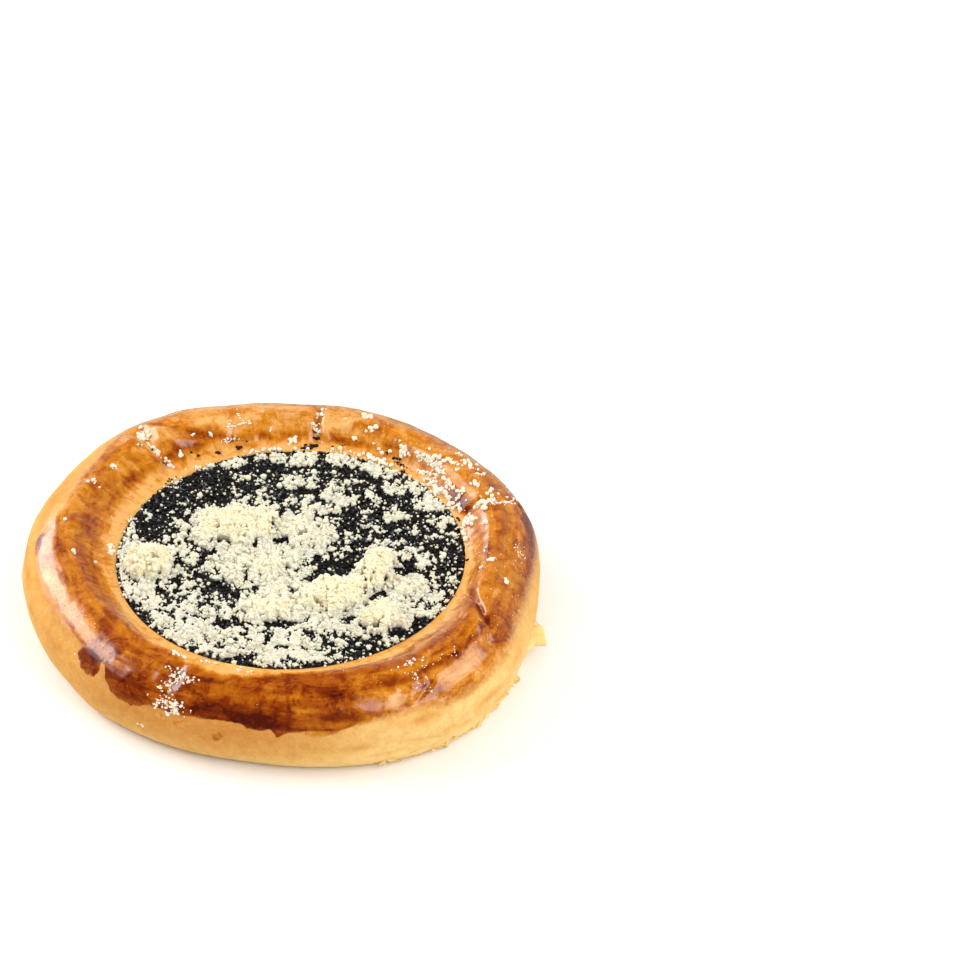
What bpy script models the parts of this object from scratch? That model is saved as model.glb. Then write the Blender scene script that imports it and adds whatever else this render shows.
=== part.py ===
"""A poppy seed kolache: a round of baked yeast dough whose raised rim holds a pocket of poppy seed
filling, with streusel heaped over the filling and a few of its crumbs on the rim.
Metres, +Z up, the origin on the flat underside at the centre of the rim.
"""

import math
import random

import bmesh
import bpy
from mathutils import Matrix, Vector, noise

# Dough rim. Its widest line is a slightly lobed circle; each lobe row is
# (lobes round the rim, swell, direction of one peak in degrees).
RIM_RADIUS = 0.05675
RIM_LOBES = (
    (2, 0.00234, 142.3),
    (3, 0.00055, 60.9),
    (4, 0.00079, 37.7),
    (5, 0.00036, 21.3),
    (6, 0.00038, 8.2),
    (7, 0.00027, 17.9),
)
RIM_TOP = 0.0220
RIM_DIP = 0.0013
RIM_DIP_DIRECTION = 252.0
RIM_DIP_HALF_WIDTH = 48.0
RIM_WIDEST_Z = 0.0110
CREST_INSET = 0.0105
FOOT_INSET = 0.0060
RIM_UNDULATION = 0.0004
UNDULATION_LENGTH = 0.011

# Pocket in the dough and the filling in it.
POCKET_CENTRE = (0.0016, -0.0016)
POCKET_RADIUS = 0.0383
POCKET_FLOOR_Z = 0.0080
POCKET_WALL_LEAN = 0.0035
FILLING_Z = 0.0175
FILLING_EDGE_DROP = 0.0004
FILLING_RELIEF = 0.0004
FILLING_GRAIN = 0.00015
GAP = 0.0003

# Creases across the rim: direction in degrees, degrees it turns by over its length, where it starts
# and ends across the rim, depth and half width. Across runs from -1 at the filling through 0 at the
# crest and 1 at the widest line to 2 at the foot.
CREASES = (
    (81.5, 1.0, -0.85, 0.35, 0.0010, 0.0011),
    (131.5, 2.0, -0.90, 0.30, 0.0014, 0.0016),
    (16.5, -2.0, -0.80, 0.75, 0.0012, 0.0013),
    (334.0, -12.0, -0.85, 0.30, 0.0014, 0.0015),
    (244.0, -2.0, 0.00, 0.95, 0.0007, 0.0020),
    (107.0, -4.0, -0.70, 0.10, 0.0005, 0.0016),
)

# Streusel mounds on the filling: centre x and y, half length, half width, height and turn in degrees.
HEAP_MOUNDS = (
    (-0.0110, 0.0080, 0.0110, 0.0080, 0.0040, 8.0),
    (0.0040, 0.0050, 0.0095, 0.0068, 0.0020, -25.0),
    (-0.0055, -0.0050, 0.0125, 0.0092, 0.0020, 5.0),
    (0.0000, -0.0140, 0.0080, 0.0050, 0.0018, 0.0),
    (-0.0020, -0.0210, 0.0090, 0.0048, 0.0027, 0.0),
    (0.0110, -0.0165, 0.0092, 0.0062, 0.0040, 18.0),
    (0.0200, -0.0085, 0.0088, 0.0050, 0.0048, 66.0),
    (0.0272, -0.0135, 0.0050, 0.0045, 0.0022, 60.0),
    (0.0212, -0.0238, 0.0078, 0.0064, 0.0030, 15.0),
)
LUMP_MOUNDS = ((-0.0292, -0.0052, 0.0052, 0.0050, 0.0052, 20.0),)
MOUND_RELIEF = 0.0006
HEAP_CRUMBS = 50
LUMP_CRUMBS = 9
HEAP_CRUMB_RADIUS = (0.0011, 0.0021)

# Loose crumbs on the rim: direction and its spread in degrees, across and its spread, count.
RIM_CRUMBS = (
    (36.0, 9.0, -0.15, 0.30, 10),
    (16.0, 2.5, -0.10, 0.40, 6),
    (60.0, 12.0, -0.10, 0.30, 4),
    (82.0, 1.5, -0.20, 0.30, 3),
    (132.0, 3.0, -0.15, 0.35, 4),
    (107.0, 5.0, -0.35, 0.20, 3),
    (244.0, 3.0, 0.65, 0.20, 5),
    (303.0, 2.5, 0.40, 0.15, 3),
)
CRUMB_RADIUS = (0.0006, 0.0013)
FILLING_CRUMBS = 62

# Torn foot, where the bun was pulled from its neighbour in the tin: directions in degrees.
TORN_FROM = 296.0
TORN_TO = 346.0
FLAKES = 10
FLAP_PLACE = (0.0560, -0.0125, 0.0036)

STEPS_AROUND = 96
FILLING_STEPS = 60
SEED = 11


def clear_scene():
    for obj in list(bpy.data.objects):
        bpy.data.objects.remove(obj)


def turned(degrees, distance):
    """The point that lies this far from the origin in that direction, on the table."""
    angle = math.radians(degrees)
    return Vector((distance * math.cos(angle), distance * math.sin(angle), 0.0))


def bump(distance, half_width):
    """A smooth bump, 1 at its middle."""
    return math.exp(-((distance / half_width) ** 2))


def fade(value, low, high):
    """0 below low, 1 above high, smooth between them."""
    t = min(1.0, max(0.0, (value - low) / (high - low)))
    return t * t * (3.0 - 2.0 * t)


def turn_between(degrees, other):
    """How far apart two directions are, in degrees, from -180 to 180."""
    return (degrees - other + 180.0) % 360.0 - 180.0


def rim_radius(degrees):
    """Distance from the origin to the rim's widest line."""
    lobes = sum(swell * math.cos(math.radians(count * (degrees - peak)))
                for count, swell, peak in RIM_LOBES)
    return RIM_RADIUS + lobes


def rim_top(degrees):
    """Height of the crest, which is lower on one side, where the dough was pressed down further."""
    apart = turn_between(degrees, RIM_DIP_DIRECTION)
    return RIM_TOP - RIM_DIP * bump(apart, RIM_DIP_HALF_WIDTH)


def pocket_radius(degrees):
    """Distance from the origin to the filling's edge, a circle that is a little off centre."""
    along = Vector((*POCKET_CENTRE, 0.0)).dot(turned(degrees, 1.0))
    offset = Vector(POCKET_CENTRE).length_squared
    return along + math.sqrt(along * along - offset + POCKET_RADIUS ** 2)


def rim_relief(degrees, across, place):
    """How far the rim's surface stands out from its plain section: slow swells, less the creases."""
    held = fade(across, -1.0, -0.6) * (1.0 - fade(across, 1.5, 1.95))
    height = RIM_UNDULATION * noise.noise(place / UNDULATION_LENGTH)
    for direction, twist, start, end, depth, half_width in CREASES:
        middle = direction + twist * ((across - start) / (end - start) - 0.5)
        apart = math.radians(turn_between(degrees, middle)) * place.xy.length
        length = fade(across, start, start + 0.2) * (1.0 - fade(across, end - 0.2, end))
        height -= depth * length * bump(apart, half_width)
    return held * height


def rim_point(degrees, across):
    """A point on the rim's surface."""
    widest = rim_radius(degrees)
    crest = widest - CREST_INSET
    top = rim_top(degrees)
    if across >= 1.0:
        angle = (across - 1.0) * math.pi / 2.0
        radius = widest - FOOT_INSET * (1.0 - math.cos(angle))
        z = RIM_WIDEST_Z * (1.0 - math.sin(angle))
    elif across >= 0.0:
        angle = across * math.pi / 2.0
        radius = crest + CREST_INSET * math.sin(angle)
        z = RIM_WIDEST_Z + (top - RIM_WIDEST_Z) * math.cos(angle)
    else:
        radius = crest + (pocket_radius(degrees) - crest) * -across
        z = FILLING_Z + (top - FILLING_Z) * (0.5 + 0.5 * math.cos(math.pi * across))
    place = turned(degrees, radius) + Vector((0.0, 0.0, z))
    core = turned(degrees, crest) + Vector((0.0, 0.0, RIM_WIDEST_Z))
    return place + (place - core).normalized() * rim_relief(degrees, across, place)


def directions_round_rim():
    """Even steps round the rim, with closer ones at each crease."""
    step = 360.0 / STEPS_AROUND
    creased = [crease[0] + side * step / 2.0 for crease in CREASES for side in (-1, 0, 1)]
    even = [i * step for i in range(STEPS_AROUND)]
    kept = [d for d in even if all(abs(turn_between(d, c)) > step * 0.4 for c in creased)]
    return sorted(d % 360.0 for d in kept + creased)


def filling_height(x, y):
    """Height of the filling's top: slow hollows, and a grain as coarse as its mesh."""
    slow = FILLING_RELIEF * noise.noise(Vector((x, y, 0.0)) / 0.009)
    grain = FILLING_GRAIN * noise.noise(Vector((x, y, 0.05)) / 0.0021)
    from_middle = math.hypot(x - POCKET_CENTRE[0], y - POCKET_CENTRE[1]) / POCKET_RADIUS
    return FILLING_Z + slow + grain - FILLING_EDGE_DROP * fade(from_middle, 0.75, 1.0)


def mesh_object(name, shape):
    """Turns a bmesh into a named object in the scene, with its faces pointing out."""
    bmesh.ops.recalc_face_normals(shape, faces=shape.faces)
    mesh = bpy.data.meshes.new(name)
    shape.to_mesh(mesh)
    shape.free()
    obj = bpy.data.objects.new(name, mesh)
    bpy.context.scene.collection.objects.link(obj)
    return obj


def skin_between(shape, ring, following):
    """Joins two rings of as many vertices by a band of quads."""
    count = len(ring)
    for i in range(count):
        after = (i + 1) % count
        shape.faces.new((ring[i], ring[after], following[after], following[i]))


def make_bun():
    """The dough: foot, flank, crest, inner slope and pocket, one ring of points for each."""
    outer = (2.0, 1.7, 1.35, 1.0, 0.78, 0.56, 0.36, 0.18, 0.0)
    inner = (-0.25, -0.5, -0.75, -1.0)
    directions = directions_round_rim()
    shape = bmesh.new()
    rings = [[shape.verts.new(rim_point(d, across)) for d in directions]
             for across in outer + inner]
    floor = []
    for d in directions:
        place = turned(d, pocket_radius(d) - POCKET_WALL_LEAN)
        floor.append(shape.verts.new((place.x, place.y, POCKET_FLOOR_Z)))
    rings.append(floor)
    for ring, following in zip(rings, rings[1:]):
        skin_between(shape, ring, following)
    shape.faces.new(reversed(rings[0]))
    shape.faces.new(floor)
    return mesh_object("bun", shape)


def make_filling(name, lift=0.0, trim=GAP):
    """The filling: its uneven top, its leaning side and its flat underside."""
    shares = (0.98, 0.88, 0.75, 0.60, 0.44, 0.26)
    directions = [i * 360.0 / FILLING_STEPS for i in range(FILLING_STEPS)]
    shape = bmesh.new()
    rings = [[], []]
    for d in directions:
        base = turned(d, pocket_radius(d) - POCKET_WALL_LEAN - trim)
        edge = turned(d, pocket_radius(d) - 1.5 * trim)
        top = filling_height(edge.x, edge.y) + lift
        rings[0].append(shape.verts.new((base.x, base.y, POCKET_FLOOR_Z + GAP)))
        rings[1].append(shape.verts.new((edge.x, edge.y, top)))
    for share in shares:
        places = [turned(d, (pocket_radius(d) - 1.5 * trim) * share) for d in directions]
        rings.append([shape.verts.new((p.x, p.y, filling_height(p.x, p.y) + lift))
                      for p in places])
    for ring, following in zip(rings, rings[1:]):
        skin_between(shape, ring, following)
    middle = shape.verts.new((0.0, 0.0, filling_height(0.0, 0.0) + lift))
    last = rings[-1]
    for i in range(len(last)):
        shape.faces.new((last[i], last[(i + 1) % len(last)], middle))
    shape.faces.new(reversed(rings[0]))
    return mesh_object(name, shape)


def make_crumb(place, radius, rng, squash=0.8, corners=1):
    """One streusel crumb: an icosphere knocked out of round."""
    shape = bmesh.new()
    bmesh.ops.create_icosphere(shape, subdivisions=corners, radius=radius)
    for vert in shape.verts:
        vert.co *= rng.uniform(0.82, 1.18)
    spin = Matrix.Rotation(rng.uniform(0.0, math.tau), 4, "Z")
    flat = Matrix.Diagonal((rng.uniform(0.85, 1.25), rng.uniform(0.75, 1.0), squash, 1.0))
    bmesh.ops.transform(shape, matrix=Matrix.Translation(place) @ spin @ flat, verts=shape.verts)
    return mesh_object("crumb", shape)


def make_mound(x, y, half_length, half_width, height, turn):
    """The core of a heap: half an egg on the filling, with the other half sunk in it."""
    shape = bmesh.new()
    bmesh.ops.create_icosphere(shape, subdivisions=3, radius=1.0)
    for vert in shape.verts:
        lumps = noise.noise(Vector((x, y, 0.0)) * 1000.0 + vert.co * 2.5)
        vert.co *= 1.0 + MOUND_RELIEF / height * lumps
    size = Matrix.Diagonal((half_length, half_width, height, 1.0))
    spin = Matrix.Rotation(math.radians(turn), 4, "Z")
    move = Matrix.Translation((x, y, filling_height(x, y)))
    bmesh.ops.transform(shape, matrix=move @ spin @ size, verts=shape.verts)
    return mesh_object("mound", shape)


def mound_height(x, y, mounds):
    """Height of the mounds' cores above the filling at a point, 0 off them."""
    heights = [0.0]
    for mx, my, half_length, half_width, height, turn in mounds:
        local = Matrix.Rotation(-math.radians(turn), 2) @ Vector((x - mx, y - my))
        inside = 1.0 - (local.x / half_length) ** 2 - (local.y / half_width) ** 2
        if inside > 0.0:
            heights.append(height * math.sqrt(inside))
    return max(heights)


def boolean(obj, others, operation):
    """Joins or cuts obj with the others in one step, then removes them."""
    group = bpy.data.collections.new("operands")
    for other in others:
        group.objects.link(other)
    modifier = obj.modifiers.new(operation, "BOOLEAN")
    modifier.operation = operation
    modifier.operand_type = "COLLECTION"
    modifier.collection = group
    modifier.solver = "EXACT"
    graph = bpy.context.evaluated_depsgraph_get()
    made = bpy.data.meshes.new_from_object(obj.evaluated_get(graph))
    obj.modifiers.clear()
    obj.data = made
    for other in others:
        bpy.data.objects.remove(other)
    bpy.data.collections.remove(group)


def keep_largest_shell(obj):
    """Drops loose scraps, and fills any hollow that joining has sealed."""
    shape = bmesh.new()
    shape.from_mesh(obj.data)
    unseen = set(shape.verts)
    shells = []
    while unseen:
        edge_of_search = [unseen.pop()]
        shell = set(edge_of_search)
        while edge_of_search:
            vert = edge_of_search.pop()
            near = {edge.other_vert(vert) for edge in vert.link_edges} - shell
            shell |= near
            unseen -= near
            edge_of_search.extend(near)
        shells.append(shell)
    largest = max(shells, key=len)
    loose = [vert for vert in shape.verts if vert not in largest]
    bmesh.ops.delete(shape, geom=loose, context="VERTS")
    shape.to_mesh(obj.data)
    shape.free()


def rim_crumbs(rng):
    """The larger crumbs that lie on the rim, in the patches where they gathered."""
    crumbs = []
    for direction, spread, across, across_spread, count in RIM_CRUMBS:
        for _ in range(count):
            d = direction + rng.gauss(0.0, spread)
            a = max(-0.72, min(1.0, across + rng.gauss(0.0, across_spread)))
            radius = rng.uniform(*CRUMB_RADIUS)
            place = rim_point(d, a) + Vector((0.0, 0.0, radius * 0.25))
            crumbs.append(make_crumb(place, radius, rng))
    return crumbs


def torn_flakes(rng):
    """Thin shreds of crumb that stand out along the torn foot, and the flap at its end."""
    flakes = []
    for i in range(FLAKES):
        d = TORN_FROM + (TORN_TO - TORN_FROM) * (i + rng.uniform(0.2, 0.8)) / FLAKES
        length = rng.uniform(0.0012, 0.0024)
        place = rim_point(d, rng.uniform(1.5, 1.8))
        flakes.append(make_crumb(place, length, rng, squash=0.55))
    flap = make_crumb(Vector(FLAP_PLACE), 0.0036, rng, squash=0.35, corners=2)
    return flakes + [flap]


def heap(name, mounds, crumb_count, rng):
    """A heap of streusel: the mounds' cores with crumbs all over, set down on the filling."""
    cores = [make_mound(*mound) for mound in mounds]
    crumbs = []
    while len(crumbs) < crumb_count:
        mx, my, half_length, half_width, height, turn = rng.choice(mounds)
        reach = math.sqrt(rng.uniform(0.0, 0.9))
        around = rng.uniform(0.0, math.tau)
        local = Vector((half_length * reach * math.cos(around),
                        half_width * reach * math.sin(around)))
        spot = Matrix.Rotation(math.radians(turn), 2) @ local
        x, y = mx + spot.x, my + spot.y
        radius = rng.uniform(*HEAP_CRUMB_RADIUS)
        z = filling_height(x, y) + mound_height(x, y, mounds) + 0.1 * radius
        crumbs.append(make_crumb(Vector((x, y, z)), radius, rng, squash=0.9))
    obj = cores[0]
    boolean(obj, cores[1:] + crumbs, "UNION")
    boolean(obj, [make_filling("bed", lift=GAP, trim=-0.002)], "DIFFERENCE")
    keep_largest_shell(obj)
    obj.name = name
    return obj


def filling_crumbs(rng):
    """Single crumbs on the bare filling, clear of the heaps and of the dough."""
    crumbs = []
    margin = 0.0036
    grown = [(x, y, length + margin, width + margin, height, turn)
             for x, y, length, width, height, turn in HEAP_MOUNDS + LUMP_MOUNDS]
    while len(crumbs) < FILLING_CRUMBS:
        d = rng.uniform(0.0, 360.0)
        place = turned(d, pocket_radius(d) * math.sqrt(rng.uniform(0.05, 0.88)))
        if mound_height(place.x, place.y, grown) > 0.0:
            continue
        radius = rng.uniform(*CRUMB_RADIUS)
        place.z = filling_height(place.x, place.y) + 0.25 * radius
        crumbs.append(make_crumb(place, radius, rng))
    return crumbs


def finish(obj, name, colour, roughness):
    """Gives a piece its material and smooth shading."""
    material = bpy.data.materials.new(name)
    material.use_nodes = True
    shader = material.node_tree.nodes["Principled BSDF"]
    shader.inputs["Base Color"].default_value = (*colour, 1.0)
    shader.inputs["Roughness"].default_value = roughness
    shader.inputs["Metallic"].default_value = 0.0
    obj.data.materials.clear()
    obj.data.materials.append(material)
    obj.data.shade_smooth()
    obj.data.set_sharp_from_angle(angle=math.radians(40.0))


def main():
    clear_scene()
    rng = random.Random(SEED)
    bun = make_bun()
    boolean(bun, rim_crumbs(rng) + torn_flakes(rng), "UNION")
    keep_largest_shell(bun)
    filling = make_filling("poppy_filling")
    boolean(filling, filling_crumbs(rng), "UNION")
    keep_largest_shell(filling)
    mounds = heap("streusel_heap", HEAP_MOUNDS, HEAP_CRUMBS, rng)
    lump = heap("streusel_lump", LUMP_MOUNDS, LUMP_CRUMBS, rng)
    finish(bun, "egg_washed_crust", (0.56, 0.24, 0.055), 0.35)
    finish(filling, "poppy_seed_filling", (0.012, 0.011, 0.013), 0.6)
    finish(mounds, "streusel", (0.83, 0.76, 0.47), 0.85)
    finish(lump, "streusel_lump", (0.83, 0.76, 0.47), 0.85)


main()
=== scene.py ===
"""A poppy seed kolache with streusel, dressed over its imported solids: the egg-washed crust, the
torn foot, the poppy filling, the streusel and its loose crumbs, and the studio that they stand in.
Metres, +Z up, the origin on the flat underside at the centre of the rim. Round the rim a place is a
direction in degrees and how far across it lies: -1 at the filling's edge, 0 on the crest, 1 on the
widest line and 2 at the foot.
"""

import math

import bmesh
import bpy
import numpy as np
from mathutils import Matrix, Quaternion, Vector, noise


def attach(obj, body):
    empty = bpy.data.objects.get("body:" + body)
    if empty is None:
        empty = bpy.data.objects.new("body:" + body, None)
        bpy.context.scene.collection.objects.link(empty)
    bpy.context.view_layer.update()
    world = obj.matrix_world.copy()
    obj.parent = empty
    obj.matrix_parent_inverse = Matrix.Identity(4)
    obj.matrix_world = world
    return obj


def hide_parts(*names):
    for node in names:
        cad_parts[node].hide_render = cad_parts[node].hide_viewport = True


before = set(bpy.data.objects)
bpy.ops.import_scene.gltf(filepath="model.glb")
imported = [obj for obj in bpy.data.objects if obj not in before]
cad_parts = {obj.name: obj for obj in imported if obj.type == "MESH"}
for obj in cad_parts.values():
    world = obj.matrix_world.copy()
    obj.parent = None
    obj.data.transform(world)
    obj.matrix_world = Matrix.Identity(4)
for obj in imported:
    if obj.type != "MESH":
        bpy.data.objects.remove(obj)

bl_info = {
    "name": "Poppy Seed Kolache",
    "version": (1, 0, 0),
    "blender": (4, 5, 0),
    "location": "View3D > Sidebar > Kolache",
    "description": "Bakes a poppy seed kolache with streusel and sets up a plain studio for it",
    "category": "Object",
}

MM = 0.001

# The bun's outline: (lobes round the rim, swell, direction of one peak).
RIM_LOBES = (
    (2, 0.00234, 142.3),
    (3, 0.00055, 60.9),
    (4, 0.00079, 37.7),
    (5, 0.00036, 21.3),
    (6, 0.00038, 8.2),
    (7, 0.00027, 17.9),
)
# The rim sags a little at the front, and its skin swells and sinks slowly all the way round.
RIM_DIP = 0.0013
RIM_DIP_DIRECTION = 252.0
RIM_DIP_HALF_WIDTH = 48.0
RIM_UNDULATION = 0.0004
UNDULATION_LENGTH = 0.011
# The pocket, which is a little off centre, and the filling in it.
POCKET_CENTRE = (0.0016, -0.0016)
POCKET_FLOOR_Z = 0.0080
POCKET_WALL_LEAN = 0.0035
FILLING_RADIUS = 0.0383
FILLING_EDGE_DROP = 0.0004
FILLING_RELIEF = 0.0004
FILLING_GAP = 0.0003

# Length of skin from the crest to the filling's edge, from the crest to the widest line, and from
# there to the foot.
INNER_ARC = 0.0095
CREST_ARC = 0.0170
FLANK_ARC = 0.0140

# Creases across the rim: direction, degrees it turns by over its length, start and end across the
# rim, depth, half width.
CREASES = (
    (81.5, 1.0, -0.85, 0.35, 0.0010, 0.0009),
    (131.5, 2.0, -0.90, 0.36, 0.0015, 0.0017),
    (16.5, -2.0, -0.80, 0.75, 0.0007, 0.0011),
    (244.0, -2.0, 0.00, 0.95, 0.0006, 0.0013),
    (107.0, -4.0, -0.70, 0.10, 0.0005, 0.0012),
)
# The lips beside a crease: their height in shares of its depth, and their reach in half widths.
LIP_HEIGHT = 0.30
LIP_REACH = 2.1

# Folds and wrinkles of the skin: height (a groove where negative), half width, and the path as
# (direction, across) corners.
FOLDS = (
    (0.00055, 0.0010, ((66, -0.02), (72, -0.28), (80, -0.56))),
    (0.00052, 0.0009, ((82, -0.40), (88, -0.18), (97, -0.02))),
    (0.00040, 0.0009, ((48, 0.18), (58, 0.08), (66, -0.04), (73, -0.10))),
    (-0.00052, 0.0009, ((109, -0.55), (117, -0.38), (124, -0.10), (127, 0.12))),
    (0.00045, 0.0009, ((130, -0.25), (121, -0.42), (112, -0.52), (102, -0.58))),
    (0.00038, 0.0008, ((128, -0.05), (118, -0.22), (108, -0.28))),
    (-0.00034, 0.0006, ((330, 0.02), (325, 0.30), (323, 0.42), (325.5, 0.62))),
    (-0.00130, 0.0008, ((341, -0.97), (340, -0.78), (336, -0.34), (332.5, -0.04), (329.5, 0.12),
                        (327.5, 0.30))),
    (0.00055, 0.0017, ((336.5, -0.88), (334, -0.58), (329.5, -0.22), (326.5, -0.02),
                       (324.5, 0.14))),
    (-0.00045, 0.0005, ((336, -0.62), (331, -0.42), (325, -0.30))),
    (-0.00040, 0.0006, ((310, -0.10), (306, 0.16), (305, 0.44), (300, 0.62))),
    (0.00030, 0.0011, ((299, 0.12), (301, 0.36), (300, 0.60))),
    (-0.00030, 0.0008, ((304, 0.20), (303, 0.42), (306, 0.66))),
    (0.00018, 0.0005, ((296.3, 0.12), (297.6, 0.40))),
    (0.00026, 0.0007, ((346, 0.06), (356, 0.10), (12, 0.14))),
    (-0.00026, 0.0006, ((344, 0.17), (355, 0.20), (14, 0.26))),
    (0.00022, 0.0007, ((348, 0.30), (0, 0.34), (16, 0.44))),
    (0.00028, 0.0009, ((134, 0.02), (148, 0.05), (166, -0.02))),
    (-0.00018, 0.0010, ((158, -0.30), (166, -0.10), (174, 0.06))),
    (0.00014, 0.0006, ((273, 0.50), (278, 0.58), (284, 0.56))),
    (-0.00014, 0.0006, ((268, 0.36), (280, 0.30), (292, 0.20))),
    (-0.00030, 0.0008, ((178, -0.72), (184, -0.40), (188, -0.10))),
    (-0.00022, 0.0007, ((171, -0.70), (175, -0.40), (177, -0.15))),
    (-0.00020, 0.0008, ((201, -0.75), (205, -0.45), (209, -0.15))),
    (-0.00020, 0.0006, ((310, -0.70), (307, -0.35), (305, -0.05))),
    (-0.00018, 0.0006, ((320, -0.75), (317, -0.40), (314, -0.05))),
    (0.00016, 0.0010, ((30, 0.28), (40, 0.14), (50, 0.04))),
)

# The egg wash's lower edge round the rim, and where it thins out towards the filling: direction,
# across, and how many millimetres that takes.
WASH_LOW = (
    (0, 0.72, 2.5), (10, 0.8, 2.5), (20, 0.8, 2), (60, 0.7, 2), (120, 0.5, 2), (130, 0.36, 2),
    (140, 0.24, 1.8), (150, 0.16, 1.6), (160, 0.1, 1.4), (168, 0.1, 1.2), (174, 0.24, 1),
    (178, 0.46, 0.8), (183, 0.48, 0.8), (190, 0.46, 0.9), (200, 0.46, 0.9), (208, 0.5, 0.7),
    (214, 0.54, 0.6), (218, 0.56, 0.5), (226, 0.58, 0.5), (236, 0.6, 0.5), (241, 0.84, 0.4),
    (246, 0.84, 0.4), (250, 0.82, 0.3), (258, 0.8, 0.3), (262, 0.8, 0.3), (264, 0.86, 0.3),
    (267, 0.87, 0.3), (269, 0.83, 0.3), (270.5, 0.95, 0.4), (273, 0.86, 0.4), (278, 0.84, 0.4),
    (283, 0.86, 0.4), (287, 0.78, 0.6), (291, 0.72, 1.2), (297, 0.68, 2.5), (310, 0.74, 3.5),
    (325, 0.7, 3.5), (335, 0.58, 3), (350, 0.66, 2.5),
)
WASH_HIGH = (
    (0, -0.62, 3.2), (15, -0.8, 2.4), (30, -0.8, 2.4), (60, -0.74, 2.2), (82, -0.76, 1.8),
    (110, -0.76, 1.6), (120, -0.72, 1.8), (145, -0.64, 2.2), (160, -0.66, 2.6), (180, -0.7, 3.2),
    (198, -0.66, 4), (210, -0.54, 4), (220, -0.32, 3.6), (230, -0.1, 2.6), (240, 0.04, 1.8),
    (245, 0.12, 1.4), (250, 0.16, 1.2), (255, 0.18, 1.1), (260, 0.16, 1.1), (265, 0.11, 1.1),
    (270, 0.06, 1.2), (275, 0, 1.4), (280, -0.08, 1.6), (290, -0.26, 2), (300, -0.44, 2.4),
    (306, -0.56, 2.6), (312, -0.62, 2.6), (322, -0.64, 2.6), (332, -0.5, 2.4), (345, -0.56, 3),
)
# Where the clear gloss of the wash ends below the browned part.
GLOSS_LOW = (
    (0, 0.8), (30, 0.8), (120, 0.55), (150, 0.25), (165, 0.3), (175, 0.47), (190, 0.5),
    (200, 0.58), (210, 0.63), (217, 0.66), (220, 0.8), (225, 0.72), (232, 0.95), (240, 0.9),
    (243, 0.84), (262, 0.8), (283, 0.85), (290, 0.78), (310, 0.8), (330, 0.72), (350, 0.72),
)
# Runs of wash that dried thick below the band, as (direction, across) corners.
WASH_RUNS = (
    ((217.5, 0.55), (217.5, 0.70), (219.5, 0.82), (222.5, 0.85), (224.6, 0.80), (225.6, 0.66),
     (225.0, 0.48), (221.0, 0.44)),
    ((226.0, 0.50), (228.0, 0.74), (230.0, 0.86), (233.0, 0.93), (237.0, 0.93), (240.0, 0.84),
     (241.8, 0.66), (241.0, 0.48), (234.0, 0.40), (227.5, 0.42)),
)
# Over how many millimetres a run fades at its edge.
WASH_RUN_FADE = 0.22
# Depth of colour that even the thinnest wash adds.
THIN_WASH_DEPTH = 0.14
# Stains of wash on the bare dough: depth of colour, half width, path.
STAINS = (
    (0.30, 0.0010, ((243, 0.95), (249, 0.97))),
    (0.50, 0.0006, ((256.6, 1.08), (257.6, 1.04))),
    (0.48, 0.0006, ((277, 0.88), (283, 0.84))),
)
# Where the film of wash blistered as it dried, and its pits break the gloss: direction, across,
# half degrees, half across, share.
BLISTERS = (
    (180.5, 0.39, 3.5, 0.09, 1), (189, 0.36, 6, 0.1, 0.9), (224, 0.5, 8, 0.22, 1),
    (221, 0.64, 4.5, 0.15, 0.9), (234, 0.54, 7, 0.1, 0.6), (246, 0.5, 4, 0.3, 0.5),
    (288, 0.36, 7, 0.12, 0.6), (303, 0.45, 5, 0.2, 0.8), (316, 0.26, 10, 0.08, 0.6),
    (330, 0.32, 7, 0.15, 0.5), (358, 0.4, 6, 0.1, 0.7), (255, 0.6, 12, 0.2, 0.25),
    (200, 0.36, 12, 0.12, 0.6), (344, 0.22, 10, 0.1, 0.3),
)
# Where the film of wash is thin and dull: direction, across, half degrees, half across, share.
DULL_PLACES = (
    (28, -0.48, 26, 0.42, 0.75), (62, -0.5, 14, 0.34, 0.45), (196, -0.5, 18, 0.36, 0.75),
    (352, -0.5, 12, 0.36, 0.45), (116, -0.35, 10, 0.25, 0.5), (330, -0.05, 6, 0.15, 0.5),
    (166, 0.36, 12, 0.3, 0.85),
)
# Folds that are grooves deeper than this are darkened along their length: painted shade in the
# groove, with wash that collected there.
SHADED_GROOVE_DEPTH = -0.0005
# Where the bare dough browned more: direction, across, half degrees, half across, change.
BLUSHES = (
    (318, 1.05, 5, 0.09, 0.34), (322, 1.3, 4, 0.06, 0.26), (302, 0.85, 4, 0.07, 0.34),
    (288, 1.15, 3, 0.06, 0.26), (308, 1.18, 6, 0.05, 0.24), (330, 0.92, 4, 0.14, 0.24),
    (312, 0.74, 5, 0.06, 0.3), (186, 0.72, 6, 0.08, 0.22), (194, 0.92, 5, 0.06, 0.2),
    (176, 0.75, 5, 0.1, 0.26), (206, 0.85, 6, 0.12, 0.12), (296, 1.32, 5, 0.05, 0.2),
    (200, 0.4, 18, 0.18, 0.35), (165, 0.35, 14, 0.2, 0.2),
)
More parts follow.
